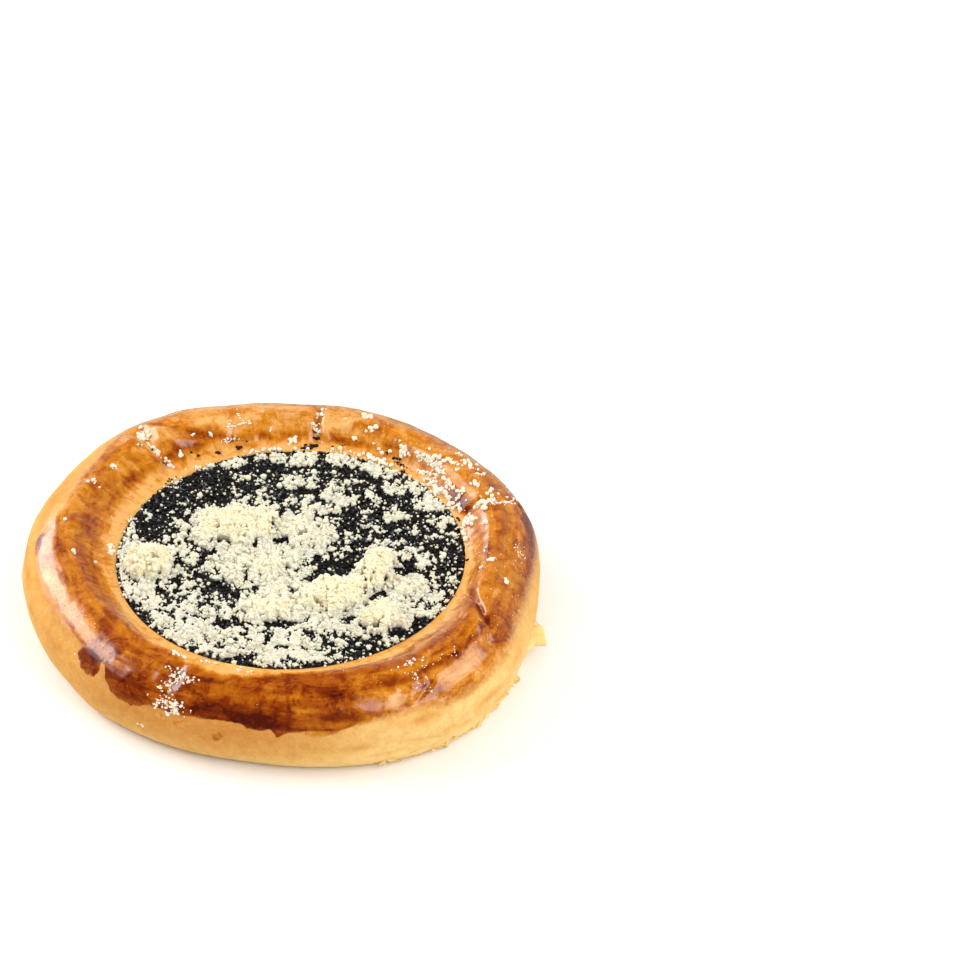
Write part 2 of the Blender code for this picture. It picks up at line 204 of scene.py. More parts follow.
# How dark the wash baked: (direction, depth), then pools where it is darker or lighter, as
# direction, across, half degrees, half across, change. The pools along the creases at 81.7 and
# 330 degrees are painted shade in the creases, with wash that pooled there.
WASH_DEPTH = (
    (0, 0.38), (15, 0.34), (35, 0.27), (60, 0.22), (80, 0.19), (95, 0.14), (115, 0.12),
    (130, 0.22), (150, 0.31), (165, 0.31), (190, 0.37), (205, 0.42), (215, 0.4), (228, 0.5),
    (245, 0.54), (262, 0.58), (280, 0.55), (292, 0.38), (305, 0.36), (320, 0.34), (335, 0.32),
    (350, 0.37),
)
POOLS = (
    (23, -0.62, 7, 0.22, 0.46), (30, -0.74, 8, 0.1, 0.24), (70, -0.62, 9, 0.1, 0.34),
    (92, -0.62, 9, 0.12, 0.28), (104, -0.56, 7, 0.1, 0.28), (117, -0.42, 6, 0.18, 0.28),
    (125, -0.56, 6, 0.14, 0.34), (146, -0.56, 16, 0.11, 0.26), (165, -0.46, 10, 0.2, 0.05),
    (173, -0.35, 4, 0.15, 0.2), (187, -0.26, 5, 0.2, 0.2), (197, -0.2, 7, 0.26, 0.14),
    (206, -0.15, 6, 0.24, 0.12), (214, 0.16, 8, 0.07, 0.16), (198, 0.4, 15, 0.12, -0.14),
    (184, 0.12, 9, 0.06, 0.2), (179, 0.4, 4, 0.1, 0.22), (225, 0.4, 7, 0.12, 0.12),
    (233, 0.72, 8, 0.18, 0.24), (221, 0.66, 4, 0.18, 0.26), (247, 0.05, 9, 0.12, 0.12),
    (256, 0.66, 10, 0.12, 0.22), (268, 0.72, 8, 0.12, 0.24), (272, 0.34, 7, 0.1, -0.12),
    (277, 0.56, 4, 0.04, -0.3), (284, 0.64, 6, 0.09, 0.22), (283, 0.32, 4, 0.12, 0.24),
    (300, -0.12, 15, 0.24, 0.14), (311, -0.4, 9, 0.3, 0.12), (292, 0.55, 2, 0.1, 0.22),
    (304, 0.27, 14, 0.07, 0.2), (303, 0.5, 3, 0.16, 0.22), (318, 0.24, 12, 0.06, 0.26),
    (330, 0.5, 7, 0.12, 0.3), (338, 0.26, 11, 0.08, 0.14), (4, 0.6, 16, 0.13, 0.34),
    (12, 0.52, 8, 0.13, 0.14), (330, -0.14, 3, 0.2, 0.22), (319, -0.14, 6, 0.16, 0.18),
    (353, -0.14, 5, 0.1, 0.2), (76, -0.22, 6, 0.2, -0.26), (345, 0.04, 14, 0.1, -0.08),
    (316, 0.56, 12, 0.12, -0.18), (297, 0.46, 5, 0.14, -0.16), (26, 0.22, 8, 0.08, 0.22),
    (46, -0.3, 6, 0.2, 0.08), (55, -0.45, 6, 0.15, 0.14), (250, 0.3, 10, 0.06, 0.06),
    (343, 0.46, 8, 0.1, 0.1), (81.7, -0.3, 1.1, 0.5, 0.45), (262, 0.58, 16, 0.07, 0.04),
)
# How far the bare dough baked: at the foot, the widest line, the flank's top and the filling's
# edge.
BAKE_DIRECTIONS = (0, 60, 120, 180, 215, 240, 262, 276, 290, 310, 330, 350)
BAKE_FOOT = (0.20, 0.30, 0.30, 0.32, 0.38, 0.34, 0.24, 0.14, 0.06, 0.02, 0.02, 0.08)
BAKE_WIDEST = (0.62, 0.66, 0.62, 0.60, 0.78, 0.90, 0.90, 0.76, 0.44, 0.32, 0.36, 0.52)
BAKE_FLANK = (0.85, 0.80, 0.72, 0.62, 0.74, 0.88, 0.92, 0.86, 0.66, 0.60, 0.66, 0.80)
BAKE_LIP = (0.62, 0.60, 0.66, 0.66, 0.82, 0.96, 1.00, 1.00, 0.96, 0.90, 0.78, 0.70)

# The torn foot, where the soft dough tore as the bun came off the tray.
TORN_DIRECTIONS = (0, 6, 282, 290, 300, 340, 350, 356)
TORN_SHARES = (0.25, 0.0, 0.0, 0.35, 1.0, 1.0, 0.7, 0.35)
TORN_TOP = 0.86
# The shreds on it: how many, and between which directions and places across they lie.
SHREDS = 36
SHRED_DIRECTIONS = (292.0, 350.0)
SHRED_ACROSS = (1.25, 1.95)
# Drips of dough under the front: direction, across, radius.
DRIPS = ((245.6, 1.93, 0.0011), (246.6, 1.97, 0.0008))
# The flap's outline, its height above the underside, and half its thickness in the middle.
FLAP_CORNERS = (
    (0.0496, -0.0195), (0.0522, -0.0192), (0.0538, -0.018), (0.0547, -0.0166), (0.0576, -0.0163),
    (0.0573, -0.0143), (0.0571, -0.012), (0.0566, -0.0101), (0.0552, -0.0087), (0.053, -0.0082),
    (0.05, -0.0086),
)
FLAP_Z = 0.0046
FLAP_THICKNESS = 0.0011
# Pits in the flank: direction, across, half width, depth.
PITS = (
    (299.5, 1.24, 0.0008, 0.0009), (309.0, 1.52, 0.0006, 0.0006), (291.0, 1.40, 0.0005, 0.0005),
)

# Streusel heaps: centre x and y, half length, half width, height, turn, and their shoulder, low for
# steep sides.
HEAP_MOUNDS = (
    (-0.0110, 0.0080, 0.0110, 0.0080, 0.0040, 8.0, 0.9),
    (0.0040, 0.0050, 0.0095, 0.0068, 0.0020, -25.0, 0.9),
    (-0.0055, -0.0050, 0.0125, 0.0092, 0.0020, 5.0, 0.9),
    (0.0000, -0.0140, 0.0080, 0.0050, 0.0018, 0.0, 0.9),
    (-0.0020, -0.0210, 0.0090, 0.0048, 0.0027, 0.0, 0.9),
    (0.0110, -0.0165, 0.0092, 0.0062, 0.0040, 18.0, 0.9),
    (0.0196, -0.0085, 0.0088, 0.0044, 0.0046, 66.0, 0.9),
    (0.0272, -0.0135, 0.0050, 0.0045, 0.0022, 60.0, 0.9),
    (0.0212, -0.0238, 0.0078, 0.0064, 0.0030, 15.0, 0.9),
)
LUMP_MOUNDS = ((-0.0292, -0.0052, 0.0052, 0.0050, 0.0052, 20.0, 0.7),)
# Thin drifts of crumbs on the filling, in millimetres: x, y, half length, half width, turn, share
# of the filling that they hide.
DRIFTS = (
    (-29, -13, 7, 5.5, 0, 0.8), (-24.5, -19, 8, 5.5, -45, 0.8), (-20, -27, 8, 5, -35, 0.8),
    (-14, -29, 8, 5.5, 0, 0.85), (-6, -31, 10, 5.5, 0, 0.82), (2, -31, 9, 5, 0, 0.85),
    (9, -31, 8, 4.5, 0, 0.6), (3, -36, 9, 3, 5, 0.85), (13, -34, 7, 3.2, 20, 0.55),
    (18, -30, 6, 4.5, 30, 0.62), (-33, -2, 4, 7, 0, 0.75), (-23, -2, 6, 5, 0, 0.78),
    (-22, 3, 5, 5, 0, 0.7), (27, -18, 6, 6, 0, 0.85), (31, -17, 5, 5, 0, 0.7),
    (30, -10, 5, 6, 0, 0.42), (-11, -20, 5, 4, 0, 0.7), (8, -24, 7, 4, 10, 0.8),
    (-20, -9, 7, 5, -30, 0.55), (-17, -15, 7, 4, -30, 0.45), (10, 3, 7, 5, -20, 0.62),
    (-17, -23, 6, 4, -20, 0.6), (14, -24, 6, 4, 10, 0.75), (-3, 11, 12, 5, 8, 0.62),
    (-12, 14, 9, 4, 8, 0.6), (-22, 10, 5, 4, 40, 0.45), (22, -1, 4, 6, -10, 0.45),
    (2.5, 33, 3.8, 3, 0, 0.9), (1.3, 24.1, 3, 2.4, 0, 0.85), (5.4, 24.1, 2.8, 2.4, 0, 0.85),
    (10.1, 19.9, 3.6, 2.4, 30, 0.85), (12.7, 17.4, 3.2, 2.2, 0, 0.8), (3.5, 18.2, 3, 1.8, 0, 0.8),
    (-6.7, 19.1, 3, 1.8, 0, 0.65), (23.6, 11.6, 3.2, 2, 30, 0.85), (24.4, 22.4, 3.4, 2.6, 0, 0.8),
    (31.1, 15.8, 3.2, 2.2, 0, 0.85), (26.3, -1.3, 3, 2.6, 20, 0.85),
    (31.3, -2.9, 2.6, 1.8, 0, 0.85), (33.2, 10, 3, 1.6, 0, 0.75), (-3.8, 22.4, 2.4, 1.8, 0, 0.65),
    (18.3, 19.1, 2.6, 2.2, 0, 0.7), (12, 33, 5, 3, -18, 0.86), (20, 29.5, 5, 3, -35, 0.84),
    (27.5, 24, 4.4, 3, -50, 0.8), (33, 17.5, 4.4, 3, -65, 0.85), (35.5, 9, 3.6, 2, -80, 0.65),
    (-18.6, 30.8, 3, 1.6, 30, 0.5), (-12.4, 31.5, 3.4, 2.2, 15, 0.7), (-5, 34, 4, 2, 5, 0.7),
    (-34.7, -6, 2.6, 6, 0, 0.85), (-34.2, -13, 2.6, 5, 15, 0.8), (-35, 10, 2, 6, 0, 0.65),
    (-27, 24, 5, 1.8, 45, 0.5), (36.9, -12.5, 1.8, 4, 0, 0.65), (32.5, -19.7, 4, 2.6, 45, 0.75),
    (24.4, -30.1, 5, 2.4, 35, 0.7), (9, 13, 6, 5, 0, 0.42), (4, 14, 7, 4, 0, 0.46),
    (18, 7, 5, 4, 0, 0.32), (20, 14, 6, 4, 0, 0.3), (28, 6, 5, 5, 0, 0.25),
    (10, 26, 6, 4, 0, 0.28), (-8, 26, 6, 3, 0, 0.25),
)
# Bare poppy between the streusel, in millimetres: x, y, half length, half width.
HOLES = (
    (-14.3, -12.5, 3.2, 2.6), (-17.5, -8.5, 2, 1.5), (-10.2, -16.4, 2, 1.1), (-16.4, -1.3, 2, 1.1),
    (-1, 3.5, 1.9, 1.3), (9.8, -4.9, 4, 1.4), (13.7, -1.3, 1.8, 1.2), (24.6, -8, 0.8, 2.2),
    (6.6, -28.7, 1.7, 1.2), (14.8, -24.1, 1.8, 1.3), (-24.1, -10.9, 2.2, 1.4),
    (-22.2, -4.9, 1.4, 1), (2.7, -14.8, 1.2, 0.7), (1.1, -24.9, 4.5, 0.7),
    (-10.7, -25.7, 2.6, 0.8), (25.2, -27.2, 2.6, 1.1), (17, -33.3, 2.2, 1), (0.9, -32.9, 1.8, 0.8),
    (-12.3, -32.6, 1.6, 0.8), (-24.5, -16.4, 1.4, 1), (18.6, -19.6, 1.4, 0.8),
    (-28, 0.5, 1.2, 1.6),
)
# Share of the filling that is hidden away from the drifts, and on a heap.
SPARSE_COVER = 0.09
HEAP_COVER = 0.87
# Shares of the loose crumbs that toasted, and that are large ones.
TOASTED_SHARE = 0.006
LARGE_SHARE = 0.08
# How far from the pocket's centre the streusel and the seeds lie.
POCKET_REACH = 0.0382
# Relief of loose streusel: height, distance between its lumps, and where its pattern starts. Clots
# are 2.6 mm apart, crumbs 1.3 mm apart on them, and grains 0.65 mm apart on those.
STREUSEL_RELIEF = ((0.0009, 0.0026, 43.0), (0.0010, 0.0013, 47.0), (0.0006, 0.00065, 49.0))
# Share of that relief by which a sheet of streusel stands off the filling.
SHEET_LIFT = 0.9

# Crumbs that lie on the rim: direction, across, spread in degrees, spread across, count, radius in
# mm.
RIM_CLUSTERS = (
    (12.5, -0.65, 1.8, 0.1, 29, 0.55), (15, -0.22, 2.2, 0.18, 40, 0.44),
    (17, 0.08, 2.6, 0.04, 14, 0.39), (22, -0.8, 1.5, 0.08, 7, 0.47),
    (25, -0.45, 1.5, 0.08, 6, 0.42), (27, -0.8, 3, 0.12, 16, 0.47), (30, -0.5, 2, 0.09, 15, 0.47),
    (32.5, -0.85, 2, 0.08, 11, 0.47), (37, -0.4, 2, 0.14, 20, 0.42),
    (40, -0.28, 2.6, 0.18, 35, 0.44), (24, 0, 1.2, 0.08, 6, 0.44), (32, 0.2, 3.6, 0.06, 15, 0.42),
    (33.5, 0, 2, 0.06, 7, 0.39), (38, -0.75, 3, 0.12, 16, 0.47), (45, -0.35, 2.2, 0.07, 10, 0.44),
    (52, -0.45, 1.3, 0.12, 14, 0.47), (58, -0.65, 1.5, 0.06, 5, 0.42),
    (64.5, -0.25, 1.2, 0.06, 7, 0.47), (66, 0.09, 2.2, 0.04, 7, 0.39),
    (62, -0.5, 1, 0.05, 3, 0.39), (68, -0.53, 1, 0.02, 3, 0.47), (81.5, 0.1, 0.8, 0.08, 6, 0.44),
    (88, -0.7, 2, 0.06, 6, 0.44), (105, -0.28, 2.2, 0.05, 14, 0.24),
    (110, -0.6, 3, 0.03, 16, 0.22), (104.8, -0.02, 0.4, 0.08, 6, 0.26),
    (114.5, -0.4, 0.8, 0.04, 3, 0.36), (120, -0.37, 0.6, 0.03, 3, 0.36),
    (128, -0.65, 1.8, 0.08, 6, 0.39), (131.5, 0.14, 1.2, 0.07, 12, 0.47),
    (132, 0.02, 0.9, 0.06, 6, 0.39), (146.5, -0.15, 0.5, 0.03, 3, 0.42),
    (157, -0.2, 0.8, 0.12, 4, 0.44), (173.5, 0.04, 0.4, 0.02, 3, 0.34),
    (180, -0.88, 4, 0.07, 9, 0.39), (187, -0.1, 0.4, 0.02, 3, 0.57),
    (188, -0.56, 0.6, 0.02, 3, 0.3), (245.5, 0.31, 2.6, 0.07, 36, 0.27),
    (244.5, 0.52, 1.8, 0.1, 18, 0.24), (245, 0.75, 2.6, 0.06, 29, 0.36),
    (249, 0.32, 1, 0.03, 8, 0.26), (247.5, 0.8, 1.6, 0.04, 12, 0.26),
    (303, 0.05, 2.4, 0.04, 18, 0.26), (304, 0.42, 1.8, 0.14, 22, 0.2),
    (349.5, 0.04, 0.7, 0.03, 4, 0.47), (347, -0.25, 0.4, 0.03, 2, 0.3),
    (354, -0.25, 0.3, 0.02, 2, 0.26), (356.5, 0.42, 1.8, 0.07, 26, 0.14),
    (343, 0.28, 0.5, 0.03, 3, 0.47), (6, -0.2, 0.6, 0.05, 3, 0.44), (20, 0.16, 2, 0.04, 6, 0.36),
    (251, 0.02, 3, 0.02, 7, 0.36), (262, 0.06, 3, 0.03, 8, 0.26), (242, 0.02, 1.6, 0.03, 6, 0.36),
    (73.5, -0.1, 0.6, 0.03, 3, 0.39), (96, -0.48, 0.6, 0.03, 3, 0.26),
    (136, -0.15, 0.5, 0.03, 3, 0.28), (8, -0.93, 4, 0.04, 14, 0.44),
    (95, -0.95, 10, 0.05, 25, 0.42), (124, -0.95, 8, 0.04, 6, 0.36), (60, -0.9, 8, 0.07, 29, 0.44),
    (218, 0.78, 1.6, 0.06, 5, 0.13), (238, 1.26, 0.8, 0.02, 5, 0.2),
    (215, 0.28, 5, 0.04, 12, 0.12), (312, 0.2, 9, 0.06, 20, 0.14),
)
# Rows of crumbs caught in a crease: count, radius in mm, first and last (direction, across).
RIM_ROWS = (
    (15, 0.36, (81.2, -0.66), (82.2, 0.10)),
    (24, 0.36, (131.0, -0.80), (132.8, 0.06)),
    (42, 0.24, (12.5, 0.06), (19.0, 0.58)),
    (14, 0.24, (104.0, -0.30), (110.0, -0.36)),
    (20, 0.20, (243.0, 0.24), (243.6, 0.86)),
)
RIM_DUST = 170
# Mean distance of the rim's crumbs from the axis.
CRUMB_RING = 0.045
# Poppy specks on the dough: direction, across, spread in degrees, count, radius in mm.
SPECKS = (
    (104.5, -0.7, 0.3, 3, 0.24), (107, -0.78, 0.8, 10, 0.34), (109.5, -0.62, 1.2, 8, 0.22),
    (114.5, -0.8, 0.7, 8, 0.36), (121.5, -0.71, 0.3, 3, 0.3), (123, -0.65, 0.3, 3, 0.26),
    (51.5, -0.75, 1.6, 12, 0.3), (53, -0.66, 0.8, 8, 0.32), (57, -0.62, 0.8, 4, 0.26),
    (48, -0.96, 1.5, 10, 0.3), (76, -0.8, 0.3, 2, 0.26), (82, -0.84, 1.2, 26, 0.4),
    (84.5, -0.92, 1.2, 22, 0.4), (81.6, -0.45, 0.8, 12, 0.3), (81.7, -0.62, 0.8, 12, 0.32),
    (81.9, -0.25, 0.5, 6, 0.24), (355.5, -0.95, 0.5, 5, 0.3), (17, -0.93, 0.6, 6, 0.32),
    (132.4, -0.3, 0.6, 5, 0.26), (136, -0.96, 2, 8, 0.28), (72, -0.72, 0.4, 2, 0.22),
    (10.5, -0.95, 0.5, 5, 0.3), (108.5, -0.6, 2, 8, 0.18), (348, -0.72, 0.2, 1, 0.22),
    (132, -0.62, 0.6, 4, 0.24),
)

# The camera: its place, its tilt from straight down in degrees, and lens and sensor in mm.
CAMERA_PLACE = (0.04294, -0.70705, 0.58392)
CAMERA_TILT = 52.29
CAMERA_LENS = 155.1
CAMERA_SENSOR = 36.0


def linear(code):
    """A colour of the form "#d9a45c", turned from sRGB to the linear values that shaders use."""
    channels = [int(code[i:i + 2], 16) / 255.0 for i in (1, 3, 5)]
    return [c / 12.92 if c <= 0.04045 else ((c + 0.055) / 1.055) ** 2.4 for c in channels] + [1.0]


def length(name, description, default):
    """A setting that is a length in metres."""
    return bpy.props.FloatProperty(name=name, description=description, default=default, min=0.0,
                                   precision=5, subtype="DISTANCE", unit="LENGTH")


def colour(name, description, code):
    """A setting that is a colour."""
    return bpy.props.FloatVectorProperty(name=name, description=description, size=4, min=0.0,
                                         max=1.0, subtype="COLOR", default=linear(code))


def amount(name, description, default):
    """A setting that is a plain number of things."""
    return bpy.props.IntProperty(name=name, description=description, default=default, min=0)


def power(name, description, default):
    """A setting that is the power of a light."""
    return bpy.props.FloatProperty(name=name, description=description, default=default, min=0.0,
                                   unit="POWER")


class KolacheBunSizes(bpy.types.PropertyGroup):
    """Sizes of the baked dough."""
    rim_radius: length("Rim radius", "Mean distance from the centre to the widest line", 0.05675)
    rim_top: length("Rim height", "Height of the crest above the underside", 0.0220)
    widest_z: length("Widest height", "Height of the widest line", 0.0110)
    crest_inset: length("Crest inset", "How far the crest lies inside the widest line", 0.0105)
    foot_inset: length("Foot inset", "How far the foot lies inside the widest line", 0.0060)
    pocket_radius: length("Pocket radius", "Radius of the pocket that holds the filling", 0.0383)
    steps_round: amount("Steps round", "Mesh steps round the rim", 880)
    steps_across: amount("Steps across", "Mesh steps from the foot to the filling", 98)


class KolacheFillingSizes(bpy.types.PropertyGroup):
    """Sizes of the poppy filling."""
    top: length("Filling height", "Height of the filling's top", 0.0175)
    seed_radius: length("Seed radius", "Radius of a ground poppy seed", 0.00033)
    seed_spacing: length("Seed spacing", "Distance between the seeds that show", 0.00070)


class KolacheStreuselSizes(bpy.types.PropertyGroup):
    """Sizes of the streusel."""
    crumb_radius: length("Crumb radius", "Radius of a common crumb", 0.00037)
    large_radius: length("Large crumb radius", "Radius of a large crumb", 0.00058)
    crumb_spacing: length("Crumb spacing", "Distance between crumbs in a drift", 0.00060)
    heap_spacing: length("Heap spacing", "Distance between loose crumbs on a heap", 0.00055)
    dust_spacing: length("Dust spacing", "Distance between spots for fine crumbs", 0.00070)
    sheet_step: length("Sheet step", "Mesh step of the heaps and drifts", 0.00026)


class KolacheColours(bpy.types.PropertyGroup):
    """Colours of the dough, the filling and the streusel."""
    dough_pale: colour("Pale dough", "Soft dough that the heat didn't reach", "#F2D08A")
    dough_light: colour("Light dough", "Dough near the foot", "#EBC27C")
    dough_golden: colour("Golden dough", "Bare dough on the flank", "#D9A45A")
    dough_tan: colour("Tan dough", "Bare dough that baked longest", "#C58238")
    wash_light: colour("Thin wash", "Egg wash where it lies thinnest", "#E2A660")
    wash_amber: colour("Amber wash", "Egg wash over most of the rim", "#C87C18")
    wash_brown: colour("Brown wash", "Egg wash in a brush stroke", "#A65606")
    wash_dark: colour("Dark wash", "Egg wash where it pooled", "#7E2E00")
    wash_burnt: colour("Burnt wash", "The darkest edge of a pool", "#4E1200")
    poppy_black: colour("Poppy black", "Ground poppy seed in shade", "#080706")
    poppy_brown: colour("Poppy brown", "Ground poppy seed that caught the light", "#1A1412")
    # Blue-grey seeds: the bloom of whole seeds, lightened into painted glints.
    poppy_bloom_and_glint: colour("Poppy blue", "Whole seeds with their blue bloom", "#62646C")
    streusel_cream: colour("Streusel cream", "Butter-rich streusel in the heaps", "#F5EAC4")
    # Streusel where it lies thin takes this grey: painted shade from the dark filling under it.
    streusel_thin_shaded: colour("Streusel pale", "Dry crumbs in thin drifts", "#DBD8C6")
    streusel_gold: colour("Streusel gold", "Crumbs that toasted a little", "#F2DCAC")
    rim_crumb: colour("Rim crumbs", "Dry crumbs on the glazed rim", "#FFE9D6")


class KolacheStudio(bpy.types.PropertyGroup):
    """The studio round the kolache."""
    floor_colour: colour("Floor", "Colour of the floor", "#F4F3F1")
    floor_radius: length("Floor radius", "Radius of the floor", 4.0)
    left_power: power("Left box", "Power of the left soft box", 8.8)
    right_power: power("Right box", "Power of the right soft box", 8.2)
    ceiling_power: power("Ceiling fill", "Power of the soft light overhead", 7.6)
    front_power: power("Front fill", "Power of the soft light in front", 8.2)
    room_strength: bpy.props.FloatProperty(name="Room light", default=1.0, min=0.0,
                                           description="Strength of the light from the room")


def turn_between(degrees, other):
    """How far apart two directions are, in degrees, from -180 to 180."""
    return (degrees - other + 180.0) % 360.0 - 180.0


def bump(distance, half_width):
    """A smooth bump, 1 at its middle."""
    return np.exp(-((distance / half_width) ** 2))


def fade(value, low, high):
    """0 below low, 1 above high, smooth between them."""
    t = np.clip((value - low) / (high - low), 0.0, 1.0)
    return t * t * (3.0 - 2.0 * t)


def waves(points, wavelength, seed=0.0):
    """Smooth noise from about -1 to 1 at each point, with hills about a wavelength apart."""
    return np.fromiter((noise.noise(p) for p in (points / wavelength + seed).tolist()), float)


def layered(points, *layers):
    """Layers of smooth noise, each a (height, wavelength, seed), summed."""
    return sum(height * waves(points, wavelength, seed) for height, wavelength, seed in layers)


def round_table(degrees, rows, column=1):
    """A value read from rows of (direction, value, ...) and blended from one row to the next."""
    order = sorted(rows)
    return np.interp(degrees, [row[0] for row in order], [row[column] for row in order],
                     period=360.0)


def patch(degrees, across, direction, at, half_degrees, half_across):
    """1 over a patch of the rim and 0 round it, with a narrow fade between them."""
    away = np.hypot(turn_between(degrees, direction) / half_degrees, (across - at) / half_across)
    return np.exp(-(away ** 4))


def blush(degrees, across, direction, at, half_degrees, half_across):
    """1 at the middle of a place on the rim, with a slow fade round it."""
    return bump(turn_between(degrees, direction), half_degrees) * bump(across - at, half_across)


def on_plane(x, y):
    """Points at a height of 0."""
    return np.stack([x, y, 0.0 * x], axis=-1)


def upward(height):
    """Moves straight up by each height."""
    return np.stack([0.0 * height, 0.0 * height, height], axis=-1)


def oval_place(x, y, middle_x, middle_y, half_length, half_width, turn):
    """How far points lie along and beside the middle of a turned oval, in shares of its halves."""
    c, s = math.cos(math.radians(turn)), math.sin(math.radians(turn))
    along, beside = (x - middle_x) * c + (y - middle_y) * s, (y - middle_y) * c - (x - middle_x) * s
    return along / half_length, beside / half_width


def rim_radius(bun, degrees):
    """Distance from the origin to the rim's widest line."""
    lobes = sum(swell * np.cos(np.radians(count * (degrees - peak)))
                for count, swell, peak in RIM_LOBES)
    return bun.rim_radius + lobes


def pocket_radius(bun, degrees):
    """Distance from the origin to the filling's edge, a circle that is a little off centre."""
    turn = np.radians(degrees)
    along = POCKET_CENTRE[0] * np.cos(turn) + POCKET_CENTRE[1] * np.sin(turn)
    offset = POCKET_CENTRE[0] ** 2 + POCKET_CENTRE[1] ** 2
    return along + np.sqrt(along ** 2 - offset + bun.pocket_radius ** 2)


def skin_length(across):
    """Distance along the section from the crest, negative towards the filling."""
    outer = np.where(across < 1.0, across * CREST_ARC, CREST_ARC + (across - 1.0) * FLANK_ARC)
    return np.where(across < 0.0, across * INNER_ARC, outer)


def polar(degrees, radius, z):
    """Points at those directions, distances from the axis and heights."""
    turn = np.radians(degrees)
    return np.stack([radius * np.cos(turn), radius * np.sin(turn), z + 0.0 * turn], axis=-1)


def rim_section(bun, filling, degrees, across):
    """Points of the rim's plain section, and the way out from its core at each of them."""
    widest = rim_radius(bun, degrees)
    crest = widest - bun.crest_inset
    top = bun.rim_top - RIM_DIP * bump(turn_between(degrees, RIM_DIP_DIRECTION), RIM_DIP_HALF_WIDTH)
    under = np.clip(across - 1.0, 0.0, 1.0) * math.pi / 2.0
    over = np.clip(across, 0.0, 1.0) * math.pi / 2.0
    inward = np.clip(-across, 0.0, 1.0)
    radius = crest + bun.crest_inset * np.sin(over) - bun.foot_inset * (1.0 - np.cos(under))
    radius = radius + (pocket_radius(bun, degrees) - crest) * inward
    flank = bun.widest_z * (1.0 - np.sin(under))
    crown = bun.widest_z + (top - bun.widest_z) * np.cos(over)
    slope = filling.top + (top - filling.top) * (0.5 + 0.5 * np.cos(math.pi * inward))
    z = np.where(across >= 1.0, flank, np.where(across >= 0.0, crown, slope))
    place = polar(degrees, radius, z)
    out = place - polar(degrees, crest, 0.0 * z + bun.widest_z)
    return place, out / np.linalg.norm(out, axis=-1, keepdims=True)


def crease_depth(degrees, across, radius, wobble):
    """Depth of the creases across the rim, with the lips that the dough raised beside them."""
    height = np.zeros_like(degrees)
    for direction, twist, start, end, depth, half_width in CREASES:
        middle = direction + twist * ((across - start) / (end - start) - 0.5)
        apart = np.radians(turn_between(degrees, middle)) * radius + wobble
        run = fade(across, start, start + 0.2) * (1.0 - fade(across, end - 0.2, end))
        lips = LIP_HEIGHT * bump(np.abs(apart) - LIP_REACH * half_width, half_width)
        height += depth * run * (lips - bump(apart, half_width))
    return height


def path_distance(degrees, across, radius, path):
    """Distance over the rim's skin from each point to a path of (direction, across) corners."""
    nearest = np.full(len(degrees), np.inf)
    for (from_degrees, from_across), (to_degrees, to_across) in zip(path, path[1:]):
        along = np.radians(turn_between(degrees, from_degrees)) * radius
        over = skin_length(across) - skin_length(np.float64(from_across))
        run = np.radians(turn_between(to_degrees, from_degrees)) * radius
        rise = skin_length(np.float64(to_across)) - skin_length(np.float64(from_across))
        share = np.clip((along * run + over * rise) / (run ** 2 + rise ** 2), 0.0, 1.0)
        nearest = np.minimum(nearest, np.hypot(along - share * run, over - share * rise))
    return nearest


def inside_corners(degrees, across, corners):
    """True for each point inside a closed run of (direction, across) corners."""
    inside = np.zeros(len(degrees), bool)
    for (d0, a0), (d1, a1) in zip(corners, corners[1:] + corners[:1]):
        if a0 == a1:
            continue
        crosses = (a0 > across) != (a1 > across)
        at = d0 + (across - a0) / (a1 - a0) * (d1 - d0)
        inside ^= crosses & (turn_between(degrees, at) < 0.0)
    return inside


def run_reach(degrees, across, radius, corners):
    """Distance into a run of wash from its edge, negative outside it."""
    away = path_distance(degrees, across, radius, corners + corners[:1])
    return np.where(inside_corners(degrees, across, corners), away, -away)


def torn_share(degrees, across):
    """1 on the torn foot and 0 on whole crust."""
    share = np.interp(degrees % 360.0, TORN_DIRECTIONS, TORN_SHARES, period=360.0)
    return share * fade(across, TORN_TOP, TORN_TOP + 0.35)


def rim_way(bun, degrees, across):
    """Each point on a cylinder with its distance over the skin as its height, for marks along the
    rim."""
    return polar(degrees, bun.rim_radius, skin_length(across))


